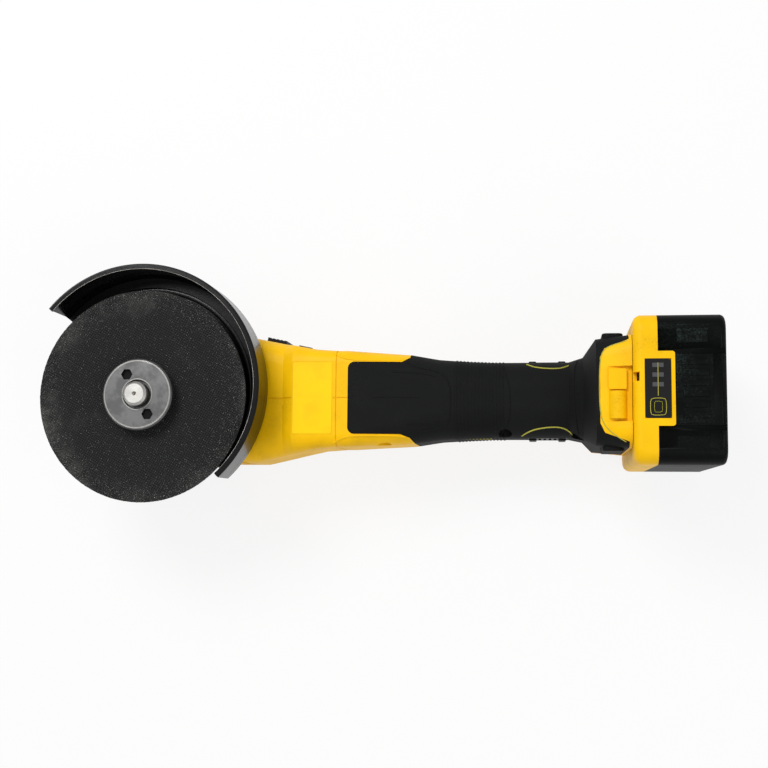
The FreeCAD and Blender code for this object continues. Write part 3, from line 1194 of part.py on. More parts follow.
def pack_lower_case():
    """Black half that holds the cells."""
    block = pack_block(PACK_SPLIT_X, PACK_X1, 0.0, PACK_ROUND)
    corners = [e for e in block.Edges if e.BoundBox.XMin > PACK_X1 - 0.01]
    block = block.makeFillet(3.0, corners)
    hollow = pack_block(PACK_SPLIT_X - 1, PACK_X1 - PACK_WALL, PACK_WALL, PACK_ROUND - PACK_WALL)
    bezel = round_box(PACK_SPLIT_X - 2, GAUGE_X1 + 2.0 + SEAT, -GAUGE_HALF_W - 4 - SEAT, GAUGE_HALF_W + 4 + SEAT,
                      BEZEL_Z0 - SEAT, PACK_H + 1, 1.5)
    wells = latch_room(GAP)
    grooves = [box(PACK_SPLIT_X - 1, PACK_X1 + 1, y - 1.5, y + 1.5, PACK_H - 1.2, PACK_H + 1) for y in (20.0, -21.0)]
    ridges = [cyl_z(1.6, 12, PACK_H - 12, PACK_X1 + 0.6, -32.0 + 8.0 * i) for i in range(9)]
    solid = less(block, [hollow] + wells + grooves + ridges)
    roof_x1 = LATCH_X0 + LATCH_DEPTH + LATCH_TRAVEL + GAP + 2.0
    roof = box(PACK_SPLIT_X, roof_x1, -LATCH_HALF_W - 2.5, LATCH_HALF_W + 2.5, 0.5, LATCH_ROOF_Z)
    posts = [cyl_x(PACK_BOSS_R, PACK_SPLIT_X, PACK_X1 - 1, y, z) for y, z in pack_screw_spots()]
    solid = joined([solid, roof.common(block)] + posts)
    for y, z in pack_screw_spots():
        wells.append(cyl_x(PACK_SCREW_R + 0.2, PACK_SPLIT_X - 1, PACK_X1 + 1, y, z))
        wells.append(cyl_x(PACK_SCREW_R + 1.2, PACK_X1 - PACK_SCREW_SINK, PACK_X1 + 1, y, z))
    return less(solid, wells + [bezel])


def pack_latch():
    """Release button with the tooth that holds the pack on the tool."""
    x0 = LATCH_X0
    tooth = box(TONGUE_X0 - TOOTH_REACH, x0 + 2, -TOOTH_HALF_W, TOOTH_HALF_W, TOOTH_Z0, TOOTH_Z1)
    button = round_box(x0, x0 + LATCH_DEPTH, -LATCH_HALF_W, LATCH_HALF_W, 0.8, LATCH_TOP_Z, 1.0, Y_DIR)
    grooves = [box(x0 + 2.5 + 2.6 * i, x0 + 3.7 + 2.6 * i, -LATCH_HALF_W + 2, LATCH_HALF_W - 2, 0, 1.6)
               for i in range(3)]
    return less(joined([tooth, button]), grooves)


def latch_spring():
    """Spring that pushes the release button towards the tool."""
    spring = coil_spring(3.0, 0.4, LATCH_TRAVEL + GAP, 2)
    spring.rotate(V(0, 0, 0), Y_DIR, 90)
    return moved(spring, x=LATCH_X0 + LATCH_DEPTH, z=(LATCH_TOP_Z + 1.0) / 2)


def gauge_panel():
    panel = round_box(GAUGE_X0 + 0.1, GAUGE_X1 - 0.1, -GAUGE_HALF_W + 0.1, GAUGE_HALF_W - 0.1,
                      PACK_H - GAUGE_T, PACK_H - 0.2, 1.5)
    cuts = [gauge_well(GAP, PACK_H - 6)]
    for y in LAMP_YS:
        cuts.append(box(LAMP_X0, LAMP_X1, y - 1.2, y + 1.2, PACK_H - 6, PACK_H + 1))
    return less(panel, cuts)


def gauge_lamps():
    return group([box(LAMP_X0 + 0.05, LAMP_X1 - 0.05, y - 1.15, y + 1.15, PACK_H - GAUGE_T, PACK_H - 0.1)
                  for y in LAMP_YS])


def gauge_button():
    x = (GAUGE_X0 + GAUGE_X1) / 2
    half = GAUGE_BUTTON / 2
    y = GAUGE_BUTTON_Y
    return round_box(x - half, x + half, y - half, y + half, GAUGE_WELL_Z + 1.2, PACK_H - 0.1, 1.5)


def cell_centres():
    """Two layers of cells across the pack."""
    rear = PACK_X1 - PACK_WALL - CELL_R - 0.3
    pitch = 2 * CELL_R + CELL_ROOM
    middle = (LATCH_ROOF_Z + BEZEL_Z0) / 2
    first = middle - pitch * (CELL_ROWS - 1) / 2
    return [(rear - layer * pitch, first + pitch * row) for layer in range(2) for row in range(CELL_ROWS)]


def battery_cells():
    half = CELL_LEN / 2
    cells = []
    for x, z in cell_centres():
        can = cyl_y(CELL_R, -half, half, x, z)
        cap = cyl_y(3.0, half - 0.1, half + 0.8, x, z)
        cells.append(joined([can, cap]))
    return group(cells)


def cell_holders():
    """End frames that space the cells."""
    xs = [x for x, _ in cell_centres()]
    zs = [z for _, z in cell_centres()]
    plates = []
    for side in (1, -1):
        y = side * (CELL_LEN / 2 - 4.0)
        frame = box(min(xs) - CELL_R - 0.2, max(xs) + CELL_R + 0.2, y - 2.0, y + 2.0,
                    min(zs) - CELL_R - 0.3, max(zs) + CELL_R + 0.3)
        plates.append(less(frame, [cyl_y(CELL_R + SEAT, y - 3, y + 3, x, z) for x, z in cell_centres()]))
    return group(plates)


def cell_straps():
    """Nickel straps that join the cells at their ends."""
    half = CELL_LEN / 2
    centres = cell_centres()
    straps = []
    for row in range(CELL_ROWS):
        pair = [centres[row], centres[row + CELL_ROWS]]
        x0 = min(x for x, _ in pair) - 4
        x1 = max(x for x, _ in pair) + 4
        z = pair[0][1]
        straps.append(box(x0, x1, half + 0.85, half + 1.15, z - 3.5, z + 3.5))
        straps.append(box(x0, x1, -half - 0.35, -half - 0.05, z - 3.5, z + 3.5))
    return group(straps)


def pack_board():
    """Circuit board on its four pillars of solder lugs."""
    x0 = DECK_X + GAP + PACK_WALL + 1.5
    board = box(x0, x0 + 1.6, -30, 30, 28.0, 100.0)
    posts = [cyl_x(1.5, x0 - 1.5, x0 + 0.2, y, z) for y in (-26, 26) for z in (32, 96)]
    return joined([board] + posts)


def pack_contacts():
    """Spring clips beside each blade, fixed on the board."""
    clips = []
    for y in BLADE_YS:
        for side in (1, -1):
            inner = y + side * (BLADE_T / 2 + 0.32)
            y0, y1 = sorted((inner, inner + side * 0.1))
            clips.append(box(BLADE_X0, BLADE_X1, y0, y1, TONGUE_Z1 - 14.0, TONGUE_Z1 - 4.0))
    return group(clips)


def pack_screws():
    one = screw(PACK_SCREW_R, PACK_SCREW_LEN, PACK_SCREW_R + 1.0, 1.8, 1.1)
    one.rotate(V(0, 0, 0), Y_DIR, 90)
    return group([moved(one, PACK_X1 - PACK_SCREW_SINK, y, z) for y, z in pack_screw_spots()])


# ---- leads ------------------------------------------------------------------
def lead(points, r, bend_r=None):
    """Insulated wire: straight runs joined by tangent arcs, as large as the runs allow unless given."""
    edges = []
    start = V(*points[0])
    for i in range(1, len(points) - 1):
        before, corner, after = V(*points[i - 1]), V(*points[i]), V(*points[i + 1])
        run_in = (corner - before)
        run_out = (after - corner)
        reach = 0.45 * min(run_in.Length, run_out.Length)
        run_in.normalize()
        run_out.normalize()
        half_turn = run_in.getAngle(run_out) / 2
        radius = bend_r or reach / math.tan(half_turn)
        reach = radius * math.tan(half_turn)
        arc_in = corner - run_in * reach
        arc_out = corner + run_out * reach
        inward = (run_out - run_in)
        inward.normalize()
        middle = corner + inward * (radius / math.cos(half_turn) - radius)
        edges.append(Part.LineSegment(start, arc_in).toShape())
        edges.append(Part.Arc(arc_in, middle, arc_out).toShape())
        start = arc_out
    edges.append(Part.LineSegment(start, V(*points[-1])).toShape())
    path = Part.Wire(edges)
    first = V(*points[1]) - V(*points[0])
    ring = Part.Wire(Part.makeCircle(r, V(*points[0]), first))
    return path.makePipeShell([ring], True, False)


def motor_leads():
    """Three phase wires from the windings to the control module."""
    wires = []
    for y in PHASE_YS:
        wires.append(lead([(STATOR_X1 + 4.1, y, PHASE_Z), (125.0, y, PHASE_Z), (MODULE_X0 - 0.7, y, PHASE_Z + 5.0)],
                          LEAD_R))
    return group(wires)


def battery_leads():
    """Two wires from the terminal block to the control module."""
    wires = []
    for y in LEAD_YS:
        wires.append(lead([(MODULE_X1 + 0.1, y, DUCT_Z), (DUCT_X, y, DUCT_Z), (DUCT_X, y, LEAD_END_Z),
                           (TONGUE_X0 - 0.1, y, LEAD_END_Z)], LEAD_R, LEAD_R + 0.4))
    return group(wires)


def build():
    """Every sub-part by name."""
    left, right, cover_left, cover_right = housing_parts()
    spindle_outer, spindle_inner = ball_bearing(SPINDLE_BEARING, GEAR_BACK_Z, Z_DIR)
    front_outer, front_inner = ball_bearing(FRONT_BEARING, FRONT_BEARING_X, X_DIR)
    rear_outer, rear_inner = ball_bearing(REAR_BEARING, REAR_BEARING_X, X_DIR)
    return {
        "housing_left": left,
        "housing_right": right,
        "grip_cover_left": cover_left,
        "grip_cover_right": cover_right,
        "foot_bumpers": group([foot_bumper(1), foot_bumper(-1)]),
        "vent_covers": group([vent_cover(1), vent_cover(-1)]),
        "rating_label": rating_label(),
        "housing_screws": housing_screws(),
        "gear_case": gear_case(),
        "gear_case_screws": gear_case_screws(),
        "bearing_retainer": bearing_retainer(),
        "retainer_screws": retainer_screws(),
        "needle_bush": needle_bush(),
        "spindle_seal": spindle_seal(),
        "spindle_bearing_outer": spindle_outer,
        "spindle_bearing_inner": spindle_inner,
        "spindle": spindle(),
        "bevel_gear": bevel_gear(),
        "gear_circlip": gear_circlip(),
        "backing_flange": backing_flange(),
        "grinding_disc": grinding_disc(),
        "clamp_nut": clamp_nut(),
        "guard_shell": guard_shell(),
        "guard_collar": guard_collar(),
        "guard_lever": guard_lever(),
        "guard_lever_screw": guard_lever_screw(),
        "lock_button": lock_button(),
        "lock_pin": lock_pin(),
        "lock_spring": lock_spring(),
        "motor_shaft": motor_shaft(),
        "drive_pinion": pinion(),
        "front_bearing_outer": front_outer,
        "front_bearing_inner": front_inner,
        "bearing_circlip": bearing_circlip(),
        "rear_bearing_outer": rear_outer,
        "rear_bearing_inner": rear_inner,
        "rotor_core": rotor_core(),
        "rotor_magnets": rotor_magnets(),
        "stator_core": stator_core(),
        "stator_windings": stator_windings(),
        "cooling_fan": cooling_fan(),
        "fan_baffle": fan_baffle(),
        "slide_button": slide_button(),
        "switch_rod": switch_rod(),
        "switch_unit": switch_unit(),
        "control_module": control_module(),
        "terminal_block": terminal_block(),
        "terminal_blades": terminal_blades(),
        "internal_leads": group([motor_leads(), battery_leads()]),
        "pack_upper_case": pack_upper_case(),
        "pack_lower_case": pack_lower_case(),
        "pack_screws": pack_screws(),
        "pack_latch": pack_latch(),
        "latch_spring": latch_spring(),
        "gauge_panel": gauge_panel(),
        "gauge_lamps": gauge_lamps(),
        "gauge_button": gauge_button(),
        "battery_cells": battery_cells(),
        "cell_holders": cell_holders(),
        "pack_electronics": group([pack_board(), pack_contacts(), cell_straps()]),
    }


def main():
    os.makedirs("parts", exist_ok=True)
    for name, shape in build().items():
        if not shape.isValid():
            print("not valid:", name)
        shape.exportStep(f"parts/{name}.step")
        print(name, len(shape.Solids), round(shape.Volume / 1000, 2))


if __name__ == "__main__":
    main()
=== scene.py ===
"""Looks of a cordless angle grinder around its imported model. Metres, +Z up, disc towards +Z."""

import json
import math

import bmesh
import bpy
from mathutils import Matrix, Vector


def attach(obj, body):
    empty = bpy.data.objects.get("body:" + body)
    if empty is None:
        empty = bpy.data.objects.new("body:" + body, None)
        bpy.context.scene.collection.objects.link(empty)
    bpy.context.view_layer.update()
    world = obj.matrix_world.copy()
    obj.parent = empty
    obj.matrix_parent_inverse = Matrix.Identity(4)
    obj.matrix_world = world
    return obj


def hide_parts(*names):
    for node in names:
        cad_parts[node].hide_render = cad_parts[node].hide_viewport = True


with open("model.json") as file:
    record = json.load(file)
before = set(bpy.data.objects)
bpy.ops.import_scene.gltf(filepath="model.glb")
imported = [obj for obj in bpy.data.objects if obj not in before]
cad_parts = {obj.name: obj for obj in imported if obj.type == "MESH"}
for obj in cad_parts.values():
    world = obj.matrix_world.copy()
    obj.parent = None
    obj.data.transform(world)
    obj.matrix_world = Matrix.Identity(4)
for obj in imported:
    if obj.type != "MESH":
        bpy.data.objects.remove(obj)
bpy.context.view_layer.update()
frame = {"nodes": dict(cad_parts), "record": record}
nodes = frame["nodes"]
MM = 0.001
TURN = 6.2832
SHEET_MM = 0.5         # thickness of a motor lamination
NET_PITCH_MM = 1.9     # weave of the glass net in the disc
NET_TURN = 0.2838      # radians


# ---- shader maths -----------------------------------------------------------
class Term:
    """A number socket that Python's operators work on."""

    def __init__(self, finish, socket):
        self.finish = finish
        self.socket = socket

    def _math(self, operation, *terms):
        return self.finish.node("ShaderNodeMath", {"operation": operation}, dict(enumerate(terms)))

    def __add__(self, other):
        return self._math("ADD", self, other)

    def __radd__(self, other):
        return self._math("ADD", other, self)

    def __sub__(self, other):
        return self._math("SUBTRACT", self, other)

    def __rsub__(self, other):
        return self._math("SUBTRACT", other, self)

    def __mul__(self, other):
        return self._math("MULTIPLY", self, other)

    def __rmul__(self, other):
        return self._math("MULTIPLY", other, self)

    def sin(self):
        return self._math("SINE", self)

    def root(self):
        return self._math("SQRT", self)

    def larger(self, other):
        return self._math("MAXIMUM", self, other)

    def smaller(self, other):
        return self._math("MINIMUM", self, other)

    def ramp(self, low, high, to_low=0.0, to_high=1.0):
        """Maps low..high to to_low..to_high with soft ends."""
        settings = {"interpolation_type": "SMOOTHSTEP"}
        values = {"Value": self, "From Min": low, "From Max": high, "To Min": to_low, "To Max": to_high}
        return self.finish.node("ShaderNodeMapRange", settings, values, "Result")


class Finish:
    """One material, built from the surface's own coordinates in metres."""

    def __init__(self, name, **base):
        self.material = bpy.data.materials.new(name)
        self.material.use_nodes = True
        self.tree = self.material.node_tree
        self.shader = self.tree.nodes["Principled BSDF"]
        for socket, value in base.items():
            self.set(socket.replace("_", " "), value)
        self.place = self.node("ShaderNodeTexCoord", {}, {}, "Object")
        split = self.tree.nodes.new("ShaderNodeSeparateXYZ")
        self.tree.links.new(self.place.socket, split.inputs[0])
        self.x, self.y, self.z = (Term(self, split.outputs[i]) for i in range(3))

    def _plug(self, socket, value):
        if isinstance(value, Term):
            self.tree.links.new(value.socket, socket)
        elif hasattr(socket.default_value, "__len__") and len(socket.default_value) == 4:
            socket.default_value = (*value[:3], 1.0)
        else:
            socket.default_value = value

    def node(self, kind, settings, values, output=0):
        """Adds one node: settings first, then its sockets by name or place."""
        new = self.tree.nodes.new(kind)
        for key, value in settings.items():
            setattr(new, key, value)
        for key, value in values.items():
            self._plug(new.inputs[key], value)
        return Term(self, new.outputs[output])

    def set(self, socket, value):
        self._plug(self.shader.inputs[socket], value)

    def noise(self, scale, detail=2.0, rough=0.5, place=None):
        values = {"Vector": place or self.place, "Scale": scale, "Detail": detail, "Roughness": rough}
        return self.node("ShaderNodeTexNoise", {}, values)

    def cells(self, scale):
        return self.node("ShaderNodeTexVoronoi", {}, {"Vector": self.place, "Scale": scale}, "Distance")

    def stretched(self, x, y, z):
        return self.node("ShaderNodeMapping", {}, {"Vector": self.place, "Scale": (x, y, z)})

    def mix(self, factor, low, high):
        """Colour between two colours."""
        new = self.tree.nodes.new("ShaderNodeMix")
        new.data_type = "RGBA"
        for socket, value in ((new.inputs[0], factor), (new.inputs[6], low), (new.inputs[7], high)):
            self._plug(socket, value)
        return Term(self, new.outputs[2])

    def relief(self, height, depth_mm, under=None):
        """Bump of the given depth; height runs 0 to 1."""
        values = {"Height": height, "Distance": depth_mm * MM, "Strength": 1.0}
        if under:
            values["Normal"] = under
        return self.node("ShaderNodeBump", {}, values)

    def spindle_reach(self):
        """Distance from the spindle's axis."""
        return (self.x * self.x + self.y * self.y).root()


def rgb(red, green, blue):
    """Linear colour from the usual 0 to 255 values."""
    shares = [v / 255 for v in (red, green, blue)]
    return tuple(((v + 0.055) / 1.055) ** 2.4 if v > 0.0404 else v / 12.92 for v in shares)


# ---- finishes ---------------------------------------------------------------
def moulded(name, colour, shade, rough=0.42, grain=0.012, grain_scale=2600, dirt=0.35, coat=0.0):
    """Injection-moulded plastic: fine texture, handling marks and a little grime."""
    f = Finish(name, IOR=1.49, Specular_IOR_Level=0.16, Coat_Weight=coat, Coat_Roughness=0.2)
    clouds = f.noise(55, 4)
    specks = f.noise(900, 3, 0.7)
    grime = (clouds.ramp(0.5, 0.75) * specks.ramp(0.45, 0.7)) * dirt
    scratch = f.noise(160, 2, 0.6, f.stretched(1.0, 9.0, 5.0)).ramp(0.66, 0.72)
    tone = f.mix(clouds.ramp(0.3, 0.7), colour, tuple(c * 0.9 for c in colour))
    f.set("Base Color", f.mix(grime, tone, shade))
    f.set("Roughness", rough + clouds * 0.12 + grime * 0.3 - scratch * 0.08)
    fine = f.relief(f.noise(grain_scale, 2), grain)
    f.set("Normal", f.relief(f.noise(210, 2), 0.03, fine))
    return f


def rubber(name, colour, dust, rough=0.68):
    """Soft overmould: matt, finely grained, with dust in the grain."""
    f = Finish(name, IOR=1.5, Specular_IOR_Level=0.12)
    clouds = f.noise(38, 5, 0.6)
    grit = f.noise(1500, 2, 0.6)
    dusty = clouds.ramp(0.42, 0.72) * grit.ramp(0.4, 0.75)
    f.set("Base Color", f.mix(dusty * 0.4, colour, dust))
    f.set("Roughness", rough + clouds * 0.14 - grit * 0.06)
    f.set("Normal", f.relief(grit, 0.05, f.relief(f.noise(5200, 2), 0.02)))
    return f


def turned_metal(name, colour, rough, ring_mm=0.35, stain=0.25):
    """Bare steel with tool rings round its axis, fine scratches and stains."""
    f = Finish(name, Metallic=1.0)
    rings = (f.spindle_reach() * (TURN / (ring_mm * MM)) + f.noise(90, 2) * 3.0).sin() * 0.5 + 0.5
    marks = f.noise(700, 3, 0.7, f.stretched(1.0, 5.0, 2.0))
    blotch = f.noise(120, 4, 0.6).ramp(0.42, 0.66)
    f.set("Base Color", f.mix(blotch * stain, colour, tuple(c * 0.35 for c in colour)))
    f.set("Roughness", rough + blotch * 0.16 + marks * 0.12)
    f.set("Normal", f.relief(rings * 0.6 + marks * 0.4, 0.012))
    return f


def cast(name, colour, rough=0.55, metal=0.6):
    """Painted die casting: orange peel with chipped specks."""
    f = Finish(name, Metallic=metal)
    clouds = f.noise(60, 4)
    pits = f.cells(900)
    f.set("Base Color", f.mix(clouds.ramp(0.35, 0.7), colour, tuple(c * 1.5 + 0.01 for c in colour)))
    f.set("Roughness", rough + clouds * 0.15)
    f.set("Normal", f.relief(pits, 0.05, f.relief(f.noise(1700, 2), 0.03)))
    return f


def gloss_paint(name, colour):
    """Baked black enamel with dust, runs and fine rub marks."""
    f = Finish(name, IOR=1.5, Specular_IOR_Level=0.22, Coat_Weight=0.14, Coat_Roughness=0.05)
    clouds = f.noise(46, 4, 0.6)
    dust = f.noise(1300, 2, 0.7).ramp(0.6, 0.8) * clouds.ramp(0.4, 0.75)
    rub = f.noise(230, 3, 0.7, f.stretched(1.0, 1.0, 7.0)).ramp(0.62, 0.75)
    f.set("Base Color", f.mix(dust * 0.22, colour, (0.10, 0.10, 0.095)))
    f.set("Roughness", 0.16 + clouds * 0.12 + rub * 0.18 + dust * 0.3)
    f.set("Normal", f.relief(f.noise(420, 2), 0.03))
    return f


def abrasive(name):
    """Bonded grit with a woven glass net showing through."""
    f = Finish(name, Specular_IOR_Level=0.2)
    weave = TURN / (NET_PITCH_MM * MM)
    net_x, net_y = math.cos(NET_TURN) * weave, math.sin(NET_TURN) * weave
    across = (f.x * net_x + f.y * net_y).sin()
    along = (f.y * net_x - f.x * net_y).sin()
    net = (across * along) * 0.5 + 0.5
    grit = f.cells(1500)
    clouds = f.noise(34, 5, 0.65)
    worn = f.spindle_reach().ramp(0.045, 0.0625)
    glint = f.noise(2600, 1, 0.5)
    sparkle = (glint.ramp(0.72, 0.78) + glint.ramp(0.65, 0.72) * worn * 0.6).smaller(1.0)
    pale = (clouds.ramp(0.42, 0.7) * worn + clouds.ramp(0.55, 0.8) * 0.35) * grit.ramp(0.1, 0.6)
    base = f.mix(net.ramp(0.3, 0.8), rgb(20, 20, 21), rgb(40, 40, 41))
    base = f.mix(pale * 0.6, base, rgb(88, 87, 83))
    f.set("Base Color", f.mix(sparkle, base, rgb(168, 167, 160)))
    f.set("Roughness", 0.86 - sparkle * 0.5)
    f.set("Normal", f.relief(grit, 0.22, f.relief(net, 0.18, f.relief(f.noise(5200, 2), 0.04))))
    return f


def plain_inner(name, colour, rough=0.5, metal=0.0, grain=800):
    """Quiet finish of a piece inside the tool, still with grain and wear."""
    f = Finish(name, Metallic=metal)
    clouds = f.noise(90, 3)
    f.set("Base Color", f.mix(clouds.ramp(0.35, 0.7), colour, tuple(c * 0.72 for c in colour)))
    f.set("Roughness", rough + clouds * 0.15)
    f.set("Normal", f.relief(f.noise(grain, 3), 0.02))
    return f


def laminated(name, colour):
    """Stacked electrical sheets with fine edges along the motor axis."""
    f = Finish(name, Metallic=0.9)
    sheets = (f.x * (TURN / (SHEET_MM * MM))).sin() * 0.5 + 0.5
    f.set("Base Color", f.mix(sheets, colour, tuple(c * 0.55 for c in colour)))
    f.set("Roughness", 0.45 + f.noise(200, 3) * 0.2)
    f.set("Normal", f.relief(sheets, 0.05))
    return f


def label_film(name):
    """Printed film, left bare: brighter and smoother than the shell."""
    f = Finish(name, IOR=1.46, Specular_IOR_Level=0.2, Coat_Weight=0.1, Coat_Roughness=0.12)
    clouds = f.noise(70, 4)
    f.set("Base Color", f.mix(clouds.ramp(0.35, 0.7), rgb(252, 206, 0), rgb(249, 197, 0)))
    f.set("Roughness", 0.28 + clouds * 0.1)
    f.set("Normal", f.relief(f.noise(300, 2), 0.012))
    return f


def dusty_black(name, dust):
    """Black pack plastic, blasted texture with pale green-grey dust on its faces."""
    f = Finish(name, IOR=1.5, Specular_IOR_Level=0.08)
    clouds = f.noise(42, 5, 0.6)
    grit = f.noise(1100, 3, 0.7)
    top = f.z.ramp(0.1165, 0.1178)
    dusty = clouds.ramp(0.35, 0.75) * grit.ramp(0.4, 0.7) * (0.25 + top * 0.4)
    f.set("Base Color", f.mix(dusty * 0.6, rgb(3, 4, 4), dust))
    f.set("Roughness", 0.4 + clouds * 0.16 + dusty * 0.25)
    f.set("Normal", f.relief(f.noise(2400, 2), 0.03, f.relief(f.noise(190, 2), 0.03)))
    return f


YELLOW = rgb(247, 192, 0)
SHADE = rgb(150, 100, 10)
DUST = rgb(70, 72, 68)
finishes = {
    "yellow_shell": moulded("yellow_shell", YELLOW, SHADE),
    "soft_cover": rubber("soft_cover", rgb(17, 18, 18), rgb(40, 41, 40)),
    "black_trim": moulded("black_trim", rgb(15, 15, 15), DUST, 0.4),
    "label_film": label_film("label_film"),
    "screw_steel": turned_metal("screw_steel", rgb(38, 38, 39), 0.4),
    "case_metal": cast("case_metal", rgb(40, 41, 42)),
    "cast_metal": cast("cast_metal", rgb(120, 120, 122), 0.45, 0.9),
    "bearing_steel": turned_metal("bearing_steel", rgb(190, 190, 192), 0.2),
    "seal_rubber": rubber("seal_rubber", rgb(24, 24, 24), DUST),
    "spindle_steel": turned_metal("spindle_steel", rgb(205, 203, 198), 0.26, 0.3, stain=0.2),
    "gear_steel": turned_metal("gear_steel", rgb(120, 120, 122), 0.35),
    "spring_steel": turned_metal("spring_steel", rgb(150, 150, 150), 0.3),
    "nut_steel": turned_metal("nut_steel", rgb(112, 112, 112), 0.34, 0.4, stain=0.4),
    "abrasive": abrasive("abrasive"),
    "guard_paint": gloss_paint("guard_paint", rgb(6, 6, 7)),
    "lamination": laminated("lamination", rgb(130, 130, 132)),
    "magnet": plain_inner("magnet", rgb(90, 92, 95), 0.35, 0.9),
    "copper_wire": plain_inner("copper_wire", rgb(184, 98, 52), 0.35, 0.9),
    "inner_plastic": plain_inner("inner_plastic", rgb(34, 34, 36), 0.5),
    "potting": plain_inner("potting", rgb(22, 26, 24), 0.35),
    "contact_metal": plain_inner("contact_metal", rgb(205, 190, 150), 0.3, 1.0),
    "wire_jacket": plain_inner("wire_jacket", rgb(150, 20, 16), 0.45),
    "pack_yellow": moulded("pack_yellow", YELLOW, SHADE, 0.4, dirt=0.45),
    "pack_black": dusty_black("pack_black", rgb(36, 50, 46)),
    "gauge_black": moulded("gauge_black", rgb(16, 16, 17), DUST, 0.3, 0.006, 3000, 0.2, 0.3),
    "lamp_grey": moulded("lamp_grey", rgb(78, 78, 80), DUST, 0.25),
    "button_black": moulded("button_black", rgb(22, 22, 22), DUST, 0.38),
    "cell_wrap": plain_inner("cell_wrap", rgb(24, 92, 140), 0.35),
    "board": plain_inner("board", rgb(14, 70, 38), 0.4),
    "bright_edge": turned_metal("bright_edge", rgb(158, 157, 154), 0.24, 0.2, stain=0.3),
    # Near-black finish that paints the shade in holes and wells.
    "painted_hole_shade": moulded("painted_hole_shade", rgb(7, 7, 7), rgb(14, 14, 14), 0.6),
    # Darkened steel that paints the shade in the nut's bore.
    "thread_painted_shade": turned_metal("thread_painted_shade", rgb(58, 57, 55), 0.4, 0.2, stain=0.5),
    # Bright steel for the painted highlight along the guard's rim.
    "rim_highlight_steel": turned_metal("rim_highlight_steel", rgb(176, 172, 166), 0.4, 0.5, stain=0.6),
    "olive_line": moulded("olive_line", rgb(176, 170, 70), rgb(70, 66, 30), 0.5),
    "cell_print": moulded("cell_print", rgb(198, 196, 40), rgb(110, 108, 30), 0.4),
    "pack_dust": dusty_black("pack_dust", rgb(74, 98, 90)),
}
for part in frame["record"]["subparts"]:
    for holder in nodes[part["node"]].material_slots:
        holder.material = finishes[part["material_slot"]].material


# ---- modelling by hand ------------------------------------------------------
def span(node):
    """Lowest and highest corner of a CAD node, in mm to a tenth."""
    corners = [nodes[node].matrix_world @ Vector(corner) for corner in nodes[node].bound_box]
    return [[round(pick(c[axis] for c in corners) / MM, 1) for axis in range(3)] for pick in (min, max)]


(_, _, DISC_Z0), (DISC_R, _, DISC_Z1) = span("grinding_disc")
DISC_BORE_R = 11.1
NUT_TOP_Z = span("clamp_nut")[1][2]
NUT_HOLE_ANGLE, NUT_HOLE_REACH, NUT_HOLE_R, NUT_HOLE_DEPTH = 119.0, 13.2, 3.3, 1.9
SPINDLE_THREADS, THREAD_Z0, THREAD_PITCH = 5, 94.2, 1.3
GUARD_R, GUARD_CENTRE, GUARD_A0, GUARD_A1 = 72.0, (0.0, 4.8), -47.0, 140.2
GUARD_TOP_Z = span("guard_shell")[1][2]
RIB_X0, RIB_X1, RIB_PITCH, RIB_W, RIB_HEIGHT = 182.0, 211.0, 2.1, 0.9, 0.3
GRIP_MID_Z = 40.0
SCREW_WELLS = ((211.0, 56.0), (211.0, 23.5), (253.0, 57.0), (253.0, 21.0))
WELL_R, WELL_FLOOR_Y, WELL_LINING = 4.1, -12.0, 0.15
PACK_TOP_Z = span("pack_upper_case")[1][2]
PACK_STEP = 0.6        # black half of the pack below its bezel
ABOVE_Z = 118.0        # lines start here and are laid down on the skin
FIN_R, FIN_PROUD = 32.0, 1.7


def drop_all():
    """Deselects everything."""
    bpy.ops.object.select_all(action="DESELECT")


def take(piece):
    """Makes one object the only one selected."""
    drop_all()
    piece.select_set(True)
    bpy.context.view_layer.objects.active = piece


def added(name):
    """Names the primitive just added and opens it for editing, with its place in its mesh."""
    piece = bpy.context.object
    piece.name = name
    piece.data.name = name
    bpy.ops.object.transform_apply(location=True, rotation=True, scale=True)
    bpy.ops.object.mode_set(mode="EDIT")
    bpy.ops.mesh.select_mode(type="FACE")
    bpy.ops.mesh.select_all(action="SELECT")
    return piece


def choose(piece, wanted):
    """Selects the faces whose centre and normal pass; the centre is in mm."""
    bpy.ops.mesh.select_mode(type="FACE")
    bpy.ops.mesh.select_all(action="DESELECT")
    cage = bmesh.from_edit_mesh(piece.data)
    for face in cage.faces:
        face.select_set(bool(wanted(face.calc_center_median() / MM, face.normal)))
    cage.select_flush_mode()
    bmesh.update_edit_mesh(piece.data)


def apply(piece, kind, **settings):
    """Adds one modifier, sets it and applies it."""
    take(piece)
    step = piece.modifiers.new(kind.lower(), kind)
    for key, value in settings.items():
        setattr(step, key, value)
    bpy.ops.object.modifier_apply(modifier=step.name)


def done(piece, body, slot, finish=None, smooth=35.0):
    """Closes a piece: shading, finish (the slot's finish unless another is named) and body."""
    if bpy.context.mode != "OBJECT":
        bpy.ops.object.mode_set(mode="OBJECT")
    take(piece)
    bpy.ops.object.shade_smooth_by_angle(angle=math.radians(smooth))
    piece.data.materials.clear()
    piece.data.materials.append(finishes[finish or slot].material)
    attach(piece, body)
    return piece


def node_copy(name, *sources):
    """One merged copy of the meshes of CAD nodes."""
    drop_all()
    copies = []
    for source in sources:
        copy = bpy.data.objects.new(name, nodes[source].data.copy())
        bpy.context.collection.objects.link(copy)
        copy.select_set(True)
        copies.append(copy)
    bpy.context.view_layer.objects.active = copies[0]
    if len(copies) > 1:
        bpy.ops.object.join()
    bpy.ops.object.mode_set(mode="EDIT")
    bpy.ops.mesh.select_all(action="SELECT")
    bpy.ops.mesh.remove_doubles(threshold=0.000001)
    bpy.ops.object.mode_set(mode="OBJECT")
    copies[0].name = name
    return copies[0]


